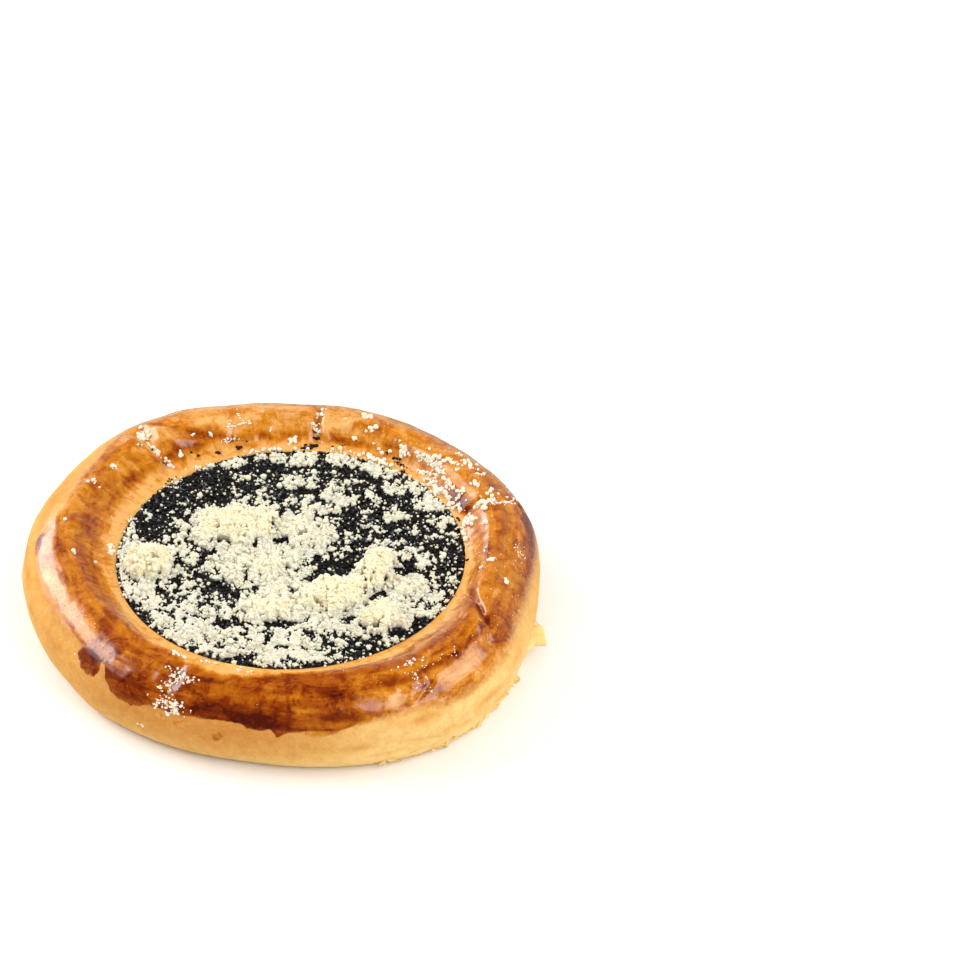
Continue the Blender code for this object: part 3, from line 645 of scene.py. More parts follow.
def crust_skin(bun, filling, degrees, across):
    """The crust's points, with its swells, creases, folds, runs of wash, tears and pits."""
    place, out = rim_section(bun, filling, degrees, across)
    radius = np.hypot(place[:, 0], place[:, 1])
    way = rim_way(bun, degrees, across)
    held = fade(across, -1.0, -0.6) * (1.0 - fade(across, 1.5, 1.95))
    wobble = layered(way, (0.0006, 0.0045, 7.0), (0.0002, 0.0012, 2.0))
    height = RIM_UNDULATION * waves(place, UNDULATION_LENGTH)
    height += crease_depth(degrees, across, radius, wobble)
    height += layered(place, (0.00012, 0.0048, 3.0), (0.00004, 0.0016, 5.0))
    for rise, half_width, path in FOLDS:
        height += rise * bump(path_distance(degrees, across, radius, path) + wobble, half_width)
    # Brush lines: along the rim outside, and down towards the filling inside.
    along = waves(way * (0.22, 0.22, 1.0), 0.00075, 11.0)
    down = waves(way * (1.0, 1.0, 0.25), 0.00095, 13.0)
    inner = fade(-across, -0.15, 0.35)
    height += 0.00004 * along * (1.0 - inner) + 0.00007 * down * inner
    for corners in WASH_RUNS:
        reach = run_reach(degrees, across, radius, corners) + 0.0002 * waves(way, 0.0011, 17.0)
        height += 0.00010 * fade(reach, -0.0002, 0.0006)
    torn = torn_share(degrees, across)
    # The torn foot's layers lie along it.
    layers = waves(way * (0.35, 0.35, 1.0), 0.0016, 19.0) + 0.6 * waves(way, 0.0008, 23.0)
    height = held * height + torn * 0.00050 * layers * (1.0 - fade(across, 1.9, 2.0))
    for direction, at, half_width, depth in PITS:
        ends = ((direction - 0.4, at), (direction + 0.4, at))
        height -= depth * bump(path_distance(degrees, across, radius, ends), half_width)
    place = place + out * height[:, None]
    foot = fade(across, 1.35, 2.0)
    ragged = layered(way * (1.0, 1.0, 0.0), (0.00045, 0.0022, 29.0), (0.00035, 0.0009, 31.0))
    ragged *= foot * (0.35 + 1.1 * torn)
    skin = place + polar(degrees, ragged, 0.0)
    skin[:, 2] = np.maximum(skin[:, 2], 0.0)
    return skin


def filling_height(filling, x, y):
    """Height of the filling's top."""
    away = np.hypot(x - POCKET_CENTRE[0], y - POCKET_CENTRE[1]) / FILLING_RADIUS
    drop = FILLING_EDGE_DROP * fade(away, 0.75, 1.0)
    return filling.top + FILLING_RELIEF * waves(on_plane(x, y), 0.009) - drop


def mound_height(x, y, mounds):
    """Height of the mounds above the filling at a point, 0 off them."""
    height = np.zeros_like(x)
    for mx, my, half_length, half_width, rise, turn, shoulder in mounds:
        along, beside = oval_place(x, y, mx, my, half_length, half_width, turn)
        inside = np.clip(1.0 - along ** 2 - beside ** 2, 0.0, 1.0)
        height = np.maximum(height, rise * inside ** shoulder)
    return height


def hole_share(x, y):
    """1 where the poppy filling shows through the streusel, 0 elsewhere."""
    ragged = 0.35 * waves(on_plane(x, y), 0.0012, 41.0)
    share = np.zeros_like(x)
    for hx, hy, half_length, half_width in HOLES:
        away = np.hypot((x / MM - hx) / half_length, (y / MM - hy) / half_width) + ragged
        share = np.maximum(share, 1.0 - fade(away, 0.8, 1.25))
    return share


def drift_share(x, y):
    """How much of the filling the thin drifts of crumbs hide at a point."""
    share = np.full_like(x, SPARSE_COVER)
    for dx, dy, half_length, half_width, turn, cover in DRIFTS:
        along, beside = oval_place(x / MM, y / MM, dx, dy, half_length, half_width, turn)
        share = np.maximum(share, cover * (1.0 - fade(np.hypot(along, beside), 0.65, 1.25)))
    return share


def lumps(points, size, seed):
    """Rounded lumps about a size apart: 1 on their tops and 0 in the furrows between them."""
    nearest = np.fromiter((noise.voronoi(p)[0][0] for p in (points / size + seed).tolist()), float)
    return np.clip(1.0 - (nearest / 0.80) ** 2, 0.0, 1.0)


def crumbly(points):
    """Relief of loose streusel, 0 in its deepest gaps."""
    bend = np.stack([waves(points, 0.0021, 35.0), waves(points, 0.0021, 37.0),
                     0.0 * points[:, 0]], axis=-1)
    bent = points + 0.0005 * bend
    return sum(rise * lumps(bent, size, seed) for rise, size, seed in STREUSEL_RELIEF)


def streusel_surface(x, y, mounds, cover, levels):
    """Streusel above the filling: its points, the height of its relief, below 0 where the filling
    shows, and the height of its mound. The relief is sunk until it hides the given share of the
    filling, and it stands off the mounds along their slope."""
    flat = on_plane(x, y)
    ragged_x = layered(flat, (0.0013, 0.0050, 35.0), (0.0006, 0.0019, 36.0))
    ragged_y = layered(flat, (0.0013, 0.0050, 37.0), (0.0006, 0.0019, 38.0))
    mound = mound_height(x + ragged_x, y + ragged_y, mounds)
    holes = hole_share(x, y)
    share = np.maximum(cover, HEAP_COVER * fade(mound, 0.0, 0.0006)) * (1.0 - holes)
    swell = 0.78 + 0.50 * lumps(flat, 0.0036, 45.0)
    body = np.maximum(mound - 0.0010, 0.0) * swell * (1.0 - holes)
    height = crumbly(np.stack([x, y, body], axis=-1))
    height = height - np.interp(1.0 - share, np.linspace(0.0, 1.0, len(levels)), levels)
    step = 0.0004
    slope_x = (mound_height(x + step, y, mounds) - mound_height(x - step, y, mounds)) / (2.0 * step)
    slope_y = (mound_height(x, y + step, mounds) - mound_height(x, y - step, mounds)) / (2.0 * step)
    lean = np.sqrt(1.0 + slope_x ** 2 + slope_y ** 2)
    stand = SHEET_LIFT * np.maximum(height, 0.0)
    points = np.stack([x - stand * slope_x / lean, y - stand * slope_y / lean, body + stand / lean],
                      axis=-1)
    return points, height, mound


def relief_levels():
    """The relief's height at even shares of its area, from its deepest gaps to its tops."""
    x, y = scatter_spots(0.0006, np.random.RandomState(1))
    return np.quantile(crumbly(on_plane(x, y)), np.linspace(0.0, 1.0, 41))


def scatter_spots(spacing, rng):
    """Spots about a spacing apart over the whole pocket, knocked off an even grid."""
    steps = np.arange(-POCKET_REACH, POCKET_REACH, spacing)
    x, y = (v.ravel() for v in np.meshgrid(steps, steps))
    x = x + POCKET_CENTRE[0] + rng.uniform(-0.5, 0.5, len(x)) * spacing
    y = y + POCKET_CENTRE[1] + rng.uniform(-0.5, 0.5, len(y)) * spacing
    inside = in_pocket(x, y)
    return x[inside], y[inside]


def unit_ball(subdivisions):
    """Corners and faces of a ball with a radius of 1."""
    shape = bmesh.new()
    bmesh.ops.create_icosphere(shape, subdivisions=subdivisions, radius=1.0)
    shape.verts.index_update()
    corners = np.array([vert.co for vert in shape.verts])
    faces = np.array([[vert.index for vert in face.verts] for face in shape.faces])
    shape.free()
    return corners, faces


def crumbs(centres, radii, rng, squash=0.85, rough=0.22, subdivisions=1):
    """One broken, uneven grain at each centre: points, triangles, and whose each point is."""
    ball, faces = unit_ball(subdivisions)
    count = len(centres)
    knocked = 1.0 + rng.uniform(-rough, rough, (count, len(ball), 1))
    stretch = rng.uniform((0.80, 0.75, 0.85), (1.30, 1.10, 1.15), (count, 3)) * (1.0, 1.0, squash)
    turn, tilt = rng.uniform(0.0, math.tau, count), rng.uniform(-0.6, 0.6, count)
    local = ball * knocked * stretch[:, None, :] * radii[:, None, None]
    ct, st = np.cos(tilt)[:, None], np.sin(tilt)[:, None]
    y, z = local[..., 1] * ct - local[..., 2] * st, local[..., 1] * st + local[..., 2] * ct
    cs, sn = np.cos(turn)[:, None], np.sin(turn)[:, None]
    turned = np.stack([local[..., 0] * cs - y * sn, local[..., 0] * sn + y * cs, z], axis=-1)
    points = (turned + centres[:, None, :]).reshape(-1, 3)
    triangles = (faces[None] + (np.arange(count) * len(ball))[:, None, None]).reshape(-1, 3)
    return points, triangles, np.repeat(np.arange(count), len(ball))


def joined(parts):
    """Several (points, faces, values) as one, where values are one number a point."""
    points, faces, values, offset = [], [], [], 0
    for some_points, some_faces, some_values in parts:
        points.append(some_points)
        faces.append(some_faces + offset)
        values.append(some_values)
        offset += len(some_points)
    return np.concatenate(points), np.concatenate(faces), np.concatenate(values)


def ring_grid(rows, columns):
    """Quads that join each ring of points to the next, for rings stored one after another."""
    row, column = np.meshgrid(np.arange(rows - 1), np.arange(columns), indexing="ij")
    after = (column + 1) % columns
    first, second = row * columns, (row + 1) * columns
    return np.stack([first + column, first + after, second + after, second + column],
                    axis=-1).reshape(-1, 4)


def fan(ring, centre, turned_over=False):
    """Triangles from a ring of points to one point."""
    after = np.roll(ring, -1)
    middle = np.full(len(ring), centre)
    order = (after, ring, middle) if turned_over else (ring, after, middle)
    return np.stack(order, axis=-1)


def end_caps(rings, columns):
    """Triangles that close the first and the last ring of points, each round a middle point. The
    two middle points come after the rings."""
    ring, total = np.arange(columns), rings * columns
    return np.concatenate([fan(ring, total, True), fan(ring + total - columns, total + 1)])


def make_piece(name, points, face_sets, values, material, node):
    """Makes a mesh object from arrays, with its values as attributes, and sets it on the model."""
    mesh = bpy.data.meshes.new(name)
    corners = np.concatenate([faces.ravel() for faces in face_sets])
    sides = np.concatenate([np.full(len(faces), faces.shape[1]) for faces in face_sets])
    mesh.vertices.add(len(points))
    mesh.vertices.foreach_set("co", np.ascontiguousarray(points, np.float32).ravel())
    mesh.loops.add(len(corners))
    mesh.loops.foreach_set("vertex_index", corners.astype(np.int32))
    mesh.polygons.add(len(sides))
    mesh.polygons.foreach_set("loop_start", (np.cumsum(sides) - sides).astype(np.int32))
    mesh.update(calc_edges=True)
    mesh.validate()
    mesh.shade_smooth()
    for key, value in values.items():
        kind, field = ("FLOAT_VECTOR", "vector") if value.ndim == 2 else ("FLOAT", "value")
        attribute = mesh.attributes.new(key, kind, "POINT")
        attribute.data.foreach_set(field, np.ascontiguousarray(value, np.float32).ravel())
    mesh.materials.append(material)
    piece = bpy.data.objects.new(name, mesh)
    bpy.context.scene.collection.objects.link(piece)
    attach(piece, "root")
    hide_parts(node)


def add_node(tree, kind, settings=None, links=None):
    """Adds a node, gives it its settings and inputs, and links its inputs to other nodes."""
    node = tree.nodes.new(kind)
    for key, value in (settings or {}).items():
        if key == "stops":
            while len(node.color_ramp.elements) < len(value):
                node.color_ramp.elements.new(1.0)
            for element, (position, shade) in zip(node.color_ramp.elements, value):
                element.position = position
                element.color = shade
        elif isinstance(key, str) and hasattr(node, key):
            setattr(node, key, value)
        else:
            node.inputs[key].default_value = value
    for key, output in (links or {}).items():
        tree.links.new(output, node.inputs[key])
    return node


def held_value(tree, name):
    """A value that the mesh holds at each of its points."""
    return add_node(tree, "ShaderNodeAttribute", {"attribute_name": name}).outputs["Fac"]


def stretched(tree, way, shares):
    """Places drawn together along each axis, which lengthens a pattern along it."""
    return add_node(tree, "ShaderNodeVectorMath", {"operation": "MULTIPLY", 1: shares},
                    {0: way}).outputs["Vector"]


def noisy(tree, place, size, detail=2.0, roughness=0.5, distortion=0.0):
    """Noise with its hills about a size in metres apart."""
    return add_node(tree, "ShaderNodeTexNoise", {
        "Scale": 1 / size, "Detail": detail, "Roughness": roughness, "Distortion": distortion,
    }, {"Vector": place}).outputs["Fac"]


def cells(tree, place, size):
    """Round cells about a size in metres apart."""
    return add_node(tree, "ShaderNodeTexVoronoi", {"Scale": 1 / size}, {"Vector": place})


def sums(tree, operation, *terms, clamp=False):
    """An operation on outputs of other nodes and plain numbers."""
    settings = {at: term for at, term in enumerate(terms) if isinstance(term, float)}
    links = {at: term for at, term in enumerate(terms) if not isinstance(term, float)}
    return add_node(tree, "ShaderNodeMath",
                    {"operation": operation, "use_clamp": clamp, **settings}, links).outputs[0]


def scaled(tree, value, factor, more):
    """A value times a factor, plus some more."""
    return sums(tree, "MULTIPLY_ADD", value, factor, more)


def ranged(tree, value, low, high, to_low, to_high, shape="LINEAR"):
    """A value taken from one range to another, and held at the ends of it."""
    return add_node(tree, "ShaderNodeMapRange", {
        "interpolation_type": shape, "From Min": low, "From Max": high, "To Min": to_low,
        "To Max": to_high,
    }, {"Value": value}).outputs["Result"]


def blended(tree, share, first, second):
    """A blend of two values."""
    return add_node(tree, "ShaderNodeMix", {"data_type": "FLOAT"},
                    {0: share, 2: first, 3: second}).outputs[0]


def shaded(tree, value, *stops):
    """A colour read along stops of (value, colour)."""
    return add_node(tree, "ShaderNodeValToRGB", {"stops": stops}, {"Fac": value}).outputs["Color"]


def relief_normal(tree, height, strength, distance, invert=False):
    """The normal of a surface with a fine relief."""
    return add_node(tree, "ShaderNodeBump", {
        "Strength": strength, "Distance": distance, "invert": invert,
    }, {"Height": height}).outputs["Normal"]


def new_material(name):
    """An empty material, its tree of nodes, and the place of each point on the object."""
    material = bpy.data.materials.new(name)
    material.use_nodes = True
    tree = material.node_tree
    tree.nodes.clear()
    return material, tree, add_node(tree, "ShaderNodeTexCoord").outputs["Object"]


def finish_material(tree, constants, links):
    """The surface shader, with its constants on its own sockets, linked to the output."""
    shader = add_node(tree, "ShaderNodeBsdfPrincipled", constants, links)
    add_node(tree, "ShaderNodeOutputMaterial", links={"Surface": shader.outputs["BSDF"]})


def crust_material(colours):
    """Egg-washed yeast dough, baked: the brushed egg dried to a clear, brown, glossy film with
    streaks, pools and burst blisters, and the bare dough beside it stayed matt with fine pores."""
    material, tree, place = new_material("egg_washed_crust")
    way = add_node(tree, "ShaderNodeAttribute", {"attribute_name": "rim_way"}).outputs["Vector"]
    reach, depth, gloss, bake, torn, inner, blistered = (held_value(tree, name) for name in (
        "wash_reach", "wash_depth", "gloss_reach", "bake", "torn", "inner_slope", "blistered"))

    # Brush strokes along the rim: 1.4 mm wide and about 9 mm long, with hair lines in them.
    along = stretched(tree, way, (0.16, 0.16, 1.0))
    strokes = noisy(tree, along, 0.0014, 6.0, 0.68, 0.4)
    # Streaks 1.5 mm wide down the inner slope, where the wash ran towards the filling.
    runs = noisy(tree, stretched(tree, way, (1.0, 1.0, 0.34)), 0.0015, 3.0, 0.55)
    streaks = blended(tree, inner, strokes, scaled(tree, runs, 1.1, -0.05))
    # Blotches 4 mm wide, and specks 0.7 mm wide where the egg's white and yolk parted.
    blotches = noisy(tree, place, 0.0042, 6.0, 0.68, 0.8)
    specks = noisy(tree, place, 0.0007)
    share = scaled(tree, specks, 0.24,
                   scaled(tree, blotches, 0.70, scaled(tree, streaks, 0.50, -0.25)))
    # Strokes about 3 mm wide and pools about 4 mm wide that dried with a crisp edge.
    crisp = ranged(tree, noisy(tree, along, 0.0030, 2.0, 0.50, 0.2), 0.49, 0.54, -0.05, 0.06)
    pooled = ranged(tree, blotches, 0.52, 0.57, -0.03, 0.05)
    edged = sums(tree, "ADD", share, sums(tree, "ADD", crisp, pooled))
    centred = sums(tree, "SUBTRACT", edged, 0.50)
    # Pits of burst blisters, 0.5 mm wide and a millimetre apart, sunk in the relief and darker:
    # painted shade in the pits, with wash that collected there.
    pit = ranged(tree, cells(tree, place, 0.0010).outputs["Distance"], 0.12, 0.36, 1.0, 0.0)
    pitted = sums(tree, "MULTIPLY", pit, blistered)
    # The pits darken the wash colour: painted shade in them.
    deep = sums(tree, "ADD", depth, scaled(tree, pitted, 0.28, centred), clamp=True)
    washed = shaded(tree, deep, (0.08, colours.wash_light), (0.34, colours.wash_amber),
                    (0.57, colours.wash_brown), (0.78, colours.wash_dark),
                    (1.00, colours.wash_burnt))

    # Bare dough: its bake is mottled over 2.5 mm. The pores are drawn 0.6 mm wide, coarser than the
    # real ones of about 0.2 mm, so that they show.
    mottle = noisy(tree, place, 0.0025, 5.0, 0.62)
    pores = noisy(tree, place, 0.0006)
    mottled = scaled(tree, pores, 0.30, scaled(tree, mottle, 0.56, -0.28))
    baked = sums(tree, "ADD", bake, sums(tree, "SUBTRACT", mottled, 0.15), clamp=True)
    bare = shaded(tree, baked, (0.00, colours.dough_pale), (0.30, colours.dough_light),
                  (0.62, colours.dough_golden), (1.00, colours.dough_tan))

    # The wash ends in a ragged line, its edge frayed over about 0.5 mm.
    fray = scaled(tree, specks, 0.9, 0.05)
    cover = sums(tree, "ADD", reach, fray, clamp=True)
    shade = add_node(tree, "ShaderNodeMix", {"data_type": "RGBA"}, {0: cover, 6: bare, 7: washed})
    wet = sums(tree, "ADD", gloss, fray, clamp=True)

    # Relief: pores in the bare dough, holes in the torn dough, and in the film of wash hair lines
    # 0.6 mm wide, bubbles a millimetre apart where it is thick, and the pits.
    hairs = noisy(tree, along, 0.0006)
    bubbles = sums(tree, "MULTIPLY", cells(tree, place, 0.0011).outputs["Distance"], depth)
    film = scaled(tree, pitted, -4.0, scaled(tree, bubbles, -1.1, hairs))
    relief = blended(tree, torn, blended(tree, wet, pores, film),
                     noisy(tree, place, 0.0012, 4.0, 0.7))
    finish_material(tree, {
        "IOR": 1.45, "Specular IOR Level": 0.05, "Subsurface Weight": 0.15,
        "Subsurface Scale": 0.0012, "Subsurface Radius": (1.0, 0.45, 0.2),
        "Coat Roughness": 0.14, "Coat IOR": 1.52,
    }, {"Base Color": shade.outputs[2], "Roughness": ranged(tree, wet, 0.0, 1.0, 0.66, 0.45),
        "Coat Weight": wet, "Normal": relief_normal(tree, relief, 0.60, 0.00016)})
    return material


def torn_crumb_material(colours):
    """Soft inside of the dough, torn: pale, matt and full of holes about a millimetre wide, with
    light that sinks in and comes back warm."""
    material, tree, place = new_material("torn_dough_crumb")
    holes = noisy(tree, place, 0.0012, 4.0, 0.65)
    # The low parts of the hole pattern take the darker golden dough: painted shade in the holes.
    shade = shaded(tree, scaled(tree, held_value(tree, "tone"), 0.30, holes),
                   (0.42, colours.dough_golden), (0.58, colours.dough_light),
                   (0.74, colours.dough_pale))
    finish_material(tree, {
        "IOR": 1.4, "Roughness": 0.75, "Subsurface Weight": 0.35, "Subsurface Scale": 0.0015,
        "Subsurface Radius": (1.0, 0.6, 0.3),
    }, {"Base Color": shade, "Normal": relief_normal(tree, holes, 0.6, 0.0003)})
    return material


def poppy_material(colours):
    """Ground poppy seed in sugar syrup: nearly black, with brown and blue-grey seeds here and
    there:
    painted glints, with brown husks and the blue bloom of whole seeds among them, and small wet
    glints from grains 0.6 mm wide."""
    material, tree, place = new_material("ground_poppy_seed")
    grains = cells(tree, place, 0.0006)
    # The lighter seeds, painted glints among whole seeds with their bloom, lie in patches about 3
    # mm wide.
    patches = noisy(tree, place, 0.0030, 3.0)
    grain = add_node(tree, "ShaderNodeSeparateColor", links={"Color": grains.outputs["Color"]})
    tone = scaled(tree, grain.outputs[0], 0.45, held_value(tree, "tone"))
    shade = shaded(tree, scaled(tree, patches, 0.50, tone), (0.50, colours.poppy_black),
                   (0.90, colours.poppy_brown), (1.00, colours.poppy_bloom_and_glint))
    finish_material(tree, {"IOR": 1.47, "Roughness": 0.38, "Specular IOR Level": 0.28}, {
        "Base Color": shade,
        "Normal": relief_normal(tree, grains.outputs["Distance"], 0.7, 0.0002, invert=True)})
    return material


def streusel_material(name, first, second, toasted, scatter):
    """Butter, sugar and flour rubbed into crumbs and baked pale: matt and translucent, so that
    light goes from grain to grain and the hollows stay cream, with sugar grains 0.5 mm wide."""
    material, tree, place = new_material(name)
    sugar = noisy(tree, place, 0.0005, 3.0, 0.6)
    shade = shaded(tree, scaled(tree, sugar, 0.35, held_value(tree, "tone")),
                   (0.15, first), (0.85, second), (1.15, toasted))
    finish_material(tree, {
        "IOR": 1.45, "Roughness": 0.62, "Subsurface Weight": scatter, "Subsurface Scale": 0.0010,
        "Subsurface Radius": (1.0, 0.85, 0.6),
    }, {"Base Color": shade, "Normal": relief_normal(tree, sugar, 0.7, 0.00020)})
    return material


def floor_material(pale):
    """Matt painted board: one pale colour, with no sheen and a faint mottle over 40 mm."""
    material, tree, place = new_material("matt_painted_board")
    darker = [0.98 * channel for channel in pale[:3]] + [1.0]
    shade = shaded(tree, noisy(tree, place, 0.04), (0.3, darker), (0.7, pale))
    finish_material(tree, {"Roughness": 0.9, "Specular IOR Level": 0.1}, {"Base Color": shade})
    return material


def wash_values(degrees, across, radius, way):
    """Where the wash lies, how dark it is and how far its gloss goes, all over the crust."""
    ragged = layered(way, (0.40, 0.0011, 51.0), (0.55, 0.0032, 53.0))
    over = skin_length(across) / MM
    low = skin_length(round_table(degrees, WASH_LOW)) / MM - over
    high = over - skin_length(round_table(degrees, WASH_HIGH)) / MM + ragged
    width = round_table(degrees, WASH_HIGH, 2)
    reach = (low + 0.6 * ragged) / round_table(degrees, WASH_LOW, 2)
    for corners in WASH_RUNS:
        inside = run_reach(degrees, across, radius, corners) / MM + 1.2 * ragged
        reach = np.maximum(reach, inside / WASH_RUN_FADE)
    depth = round_table(degrees, WASH_DEPTH)
    bent_degrees = degrees + 1.5 * waves(way, 0.0035, 55.0) + 0.9 * waves(way, 0.0014, 57.0)
    bent_across = across + 0.05 * waves(way, 0.0030, 58.0) + 0.03 * waves(way, 0.0012, 59.0)
    for *place, change in POOLS:
        depth = depth + change * patch(bent_degrees, bent_across, *place)
    # The grooves get darker wash: painted shade in them, with the wash that pooled there.
    for rise, half_width, path in FOLDS:
        if rise < SHADED_GROOVE_DEPTH:
            depth = depth + 0.30 * bump(path_distance(degrees, across, radius, path), half_width)
    depth = depth * fade(high / width, -1.0, 0.6) + THIN_WASH_DEPTH
    # Wash dries darkest just inside its edge.
    crisp = fade(0.9 - round_table(degrees, WASH_LOW, 2), 0.0, 0.5)
    depth = depth + 0.14 * crisp * bump(low - 0.5, 0.5)
    for stain_depth, half_width, path in STAINS:
        away = path_distance(degrees, across, radius, path) / MM - 0.9 * ragged
        cover = (half_width / MM - away) / 0.7
        depth = np.where(cover > reach, stain_depth, depth)
        reach = np.maximum(reach, np.minimum(cover, 0.45))
    # The lip beside the filling stayed bare.
    reach = np.minimum(reach, (over + INNER_ARC / MM * 0.93 + ragged) / 1.6)
    gloss = skin_length(round_table(degrees, GLOSS_LOW)) / MM - over + 0.7 * ragged
    gloss = np.maximum(gloss / 0.8, np.minimum(reach, 1.0))
    gloss = np.minimum(np.minimum(gloss, (high + 0.8 * width) / width), 1.0)
    for *place, share in DULL_PLACES:
        gloss = gloss - 1.5 * share * patch(bent_degrees, bent_across, *place)
    return np.clip(reach, -6.0, 6.0), np.clip(depth, 0.0, 1.0), np.clip(gloss, -4.0, 4.0)


def blister_share(degrees, across):
    """How far the film of wash blistered, from 0 to 1."""
    share = np.zeros_like(degrees)
    for *place, most in BLISTERS:
        share = np.maximum(share, most * blush(degrees, across, *place))
    return share


def bake_value(degrees, across):
    """How far the bare dough baked, from 0 where it is pale to 1."""
    levels = [np.interp(degrees, BAKE_DIRECTIONS, row, period=360.0)
              for row in (BAKE_LIP, BAKE_FLANK, BAKE_WIDEST, BAKE_FOOT)]
    stops = (-1.0, 0.5, 1.0, 1.8)
    value = levels[0]
    for level, low, high in zip(levels[1:], stops, stops[1:]):
        value = value + (level - value) * fade(across, low, high)
    for *place, change in BLUSHES:
        value = value + change * blush(degrees, across, *place)
    return value


def make_crust(bun, filling, colours):
    """The crust: foot, flank, crest and inner slope, closed by its pocket and its underside."""
    columns = bun.steps_round
    directions = np.arange(columns) * 360.0 / columns
    arc = np.linspace(FLANK_ARC + CREST_ARC, -INNER_ARC, bun.steps_across)
    across = np.where(arc < 0.0, arc / INNER_ARC,
                      np.where(arc < CREST_ARC, arc / CREST_ARC,
                               1.0 + (arc - CREST_ARC) / FLANK_ARC))
    degrees, rows = np.tile(directions, len(across)), np.repeat(across, columns)
    skin = crust_skin(bun, filling, degrees, rows)
    wall_share = np.linspace(0.15, 1.0, 6)
    walls = [polar(directions, pocket_radius(bun, directions) - POCKET_WALL_LEAN * share,
                   filling.top + (POCKET_FLOOR_Z - filling.top) * share) for share in wall_share]
    under = skin[:columns] * (0.97, 0.97, 0.0)
    points = np.concatenate([under, skin, *walls, [(0.0, 0.0, 0.0), (0.0, 0.0, POCKET_FLOOR_Z)]])
    rings = 1 + len(across) + len(walls)
    faces, ends = ring_grid(rings, columns), end_caps(rings, columns)
    radius = np.hypot(skin[:, 0], skin[:, 1])
    way = rim_way(bun, degrees, rows)
    reach, depth, gloss = wash_values(degrees, rows, radius, way)
    spare = len(points) - columns - len(skin)
    values = {
        "wash_reach": np.pad(reach, (columns, spare), constant_values=-6.0),
        "wash_depth": np.pad(depth, (columns, spare)),
        "gloss_reach": np.pad(gloss, (columns, spare), constant_values=-4.0),
        "bake": np.pad(bake_value(degrees, rows), (columns, spare), constant_values=0.5),
        "torn": np.pad(torn_share(degrees, rows), (columns, spare)),
        "inner_slope": np.pad(fade(-rows, -0.1, 0.3), (columns, spare)),
        "blistered": np.pad(blister_share(degrees, rows), (columns, spare)),
        "rim_way": np.pad(way, ((columns, spare), (0, 0))),
    }
    make_piece("bun_crust", points, [faces, ends], values, crust_material(colours), "bun")


def make_torn_foot(bun, filling, colours, rng):
    """Shreds of soft dough along the torn foot, the flap at their end, and a drip at the front."""
    degrees, across = rng.uniform(*SHRED_DIRECTIONS, SHREDS), rng.uniform(*SHRED_ACROSS, SHREDS)
    places = crust_skin(bun, filling, degrees, across)
    shreds, faces, owner = crumbs(places, rng.uniform(0.0005, 0.0009, SHREDS), rng, 0.30, 0.4, 2)
    tone = rng.uniform(0.0, 1.0, SHREDS)[owner]
    drip_degrees, drip_across, drip_radii = np.array(DRIPS).T
    places = crust_skin(bun, filling, drip_degrees, drip_across)
    drips, drip_faces, drip_owner = crumbs(places, drip_radii, rng, 0.8, 0.15, 2)
    parts = [(shreds, faces, tone), (drips, drip_faces, 0.5 + 0.0 * drip_owner), flap_shape()]
    points, all_faces, tones = joined(parts)
    points[:, 2] = np.maximum(points[:, 2], 0.0)
    make_piece("bun_torn_foot", points, [all_faces], {"tone": tones},
               torn_crumb_material(colours), "bun")


def flap_shape():
    """The flap of dough that tore loose: a thin, blistered leaf with a ragged edge."""
    corners = np.array(FLAP_CORNERS)
    steps, rings = 12, 10
    ends = np.roll(corners, -1, axis=0)
    shares = np.arange(steps) / steps
    outline = (corners[:, None] + (ends - corners)[:, None] * shares[None, :, None]).reshape(-1, 2)
    middle = outline.mean(axis=0)
    torn = 0.00014 * waves(on_plane(outline[:, 0], outline[:, 1]), 0.0011, 61.0)
    outline = outline + torn[:, None] * (1.0, 0.6)
    points = []
    for side in (1.0, -1.0):
        for share in np.linspace(1.0, 0.06, rings):
            ring = middle + (outline - middle) * share
            spot = on_plane(ring[:, 0], ring[:, 1])
            thick = FLAP_THICKNESS * np.sqrt(1.0 - share ** 3) * side
            blistered = 0.00020 * waves(spot, 0.0018, 63.0 + side)
            points.append(spot + upward(FLAP_Z + thick + blistered))
    top, bottom = points[:rings], points[rings:]
    edge = (top[0] + bottom[0]) / 2.0
    stack = [*reversed(bottom[1:]), edge, *top[1:]]
    quads, caps = ring_grid(len(stack), len(outline)), end_caps(len(stack), len(outline))
    faces = np.concatenate([quads[:, :3], quads[:, (0, 2, 3)], caps])
    shape = np.concatenate([*stack, [stack[0].mean(axis=0), stack[-1].mean(axis=0)]])
    return shape, faces, np.full(len(shape), 1.0)


def make_paste(bun, filling, colours):
    """The filling's own body: a disc with a grainy top, closed by its side and its underside."""
    columns, rings = 360, 92
    directions = np.arange(columns) * 360.0 / columns
    underside = POCKET_FLOOR_Z + FILLING_GAP
    base_radius = pocket_radius(bun, directions) - POCKET_WALL_LEAN - FILLING_GAP
    stack = [polar(directions, base_radius, underside)]
    for share in np.linspace(1.008, 0.01, rings):
        spot = polar(directions, pocket_radius(bun, directions) * share, 0.0)
        grain = layered(spot, (0.00016, 0.0009, 71.0), (0.00010, 0.00045, 73.0))
        spot[:, 2] = filling_height(filling, spot[:, 0], spot[:, 1]) + grain
        stack.append(spot)
    points = np.concatenate([*stack, [(0.0, 0.0, underside), stack[-1].mean(axis=0)]])
    faces, ends = ring_grid(len(stack), columns), end_caps(len(stack), columns)
    make_piece("poppy_paste", points, [faces, ends], {"tone": np.zeros(len(points))},
               poppy_material(colours), "poppy_filling")


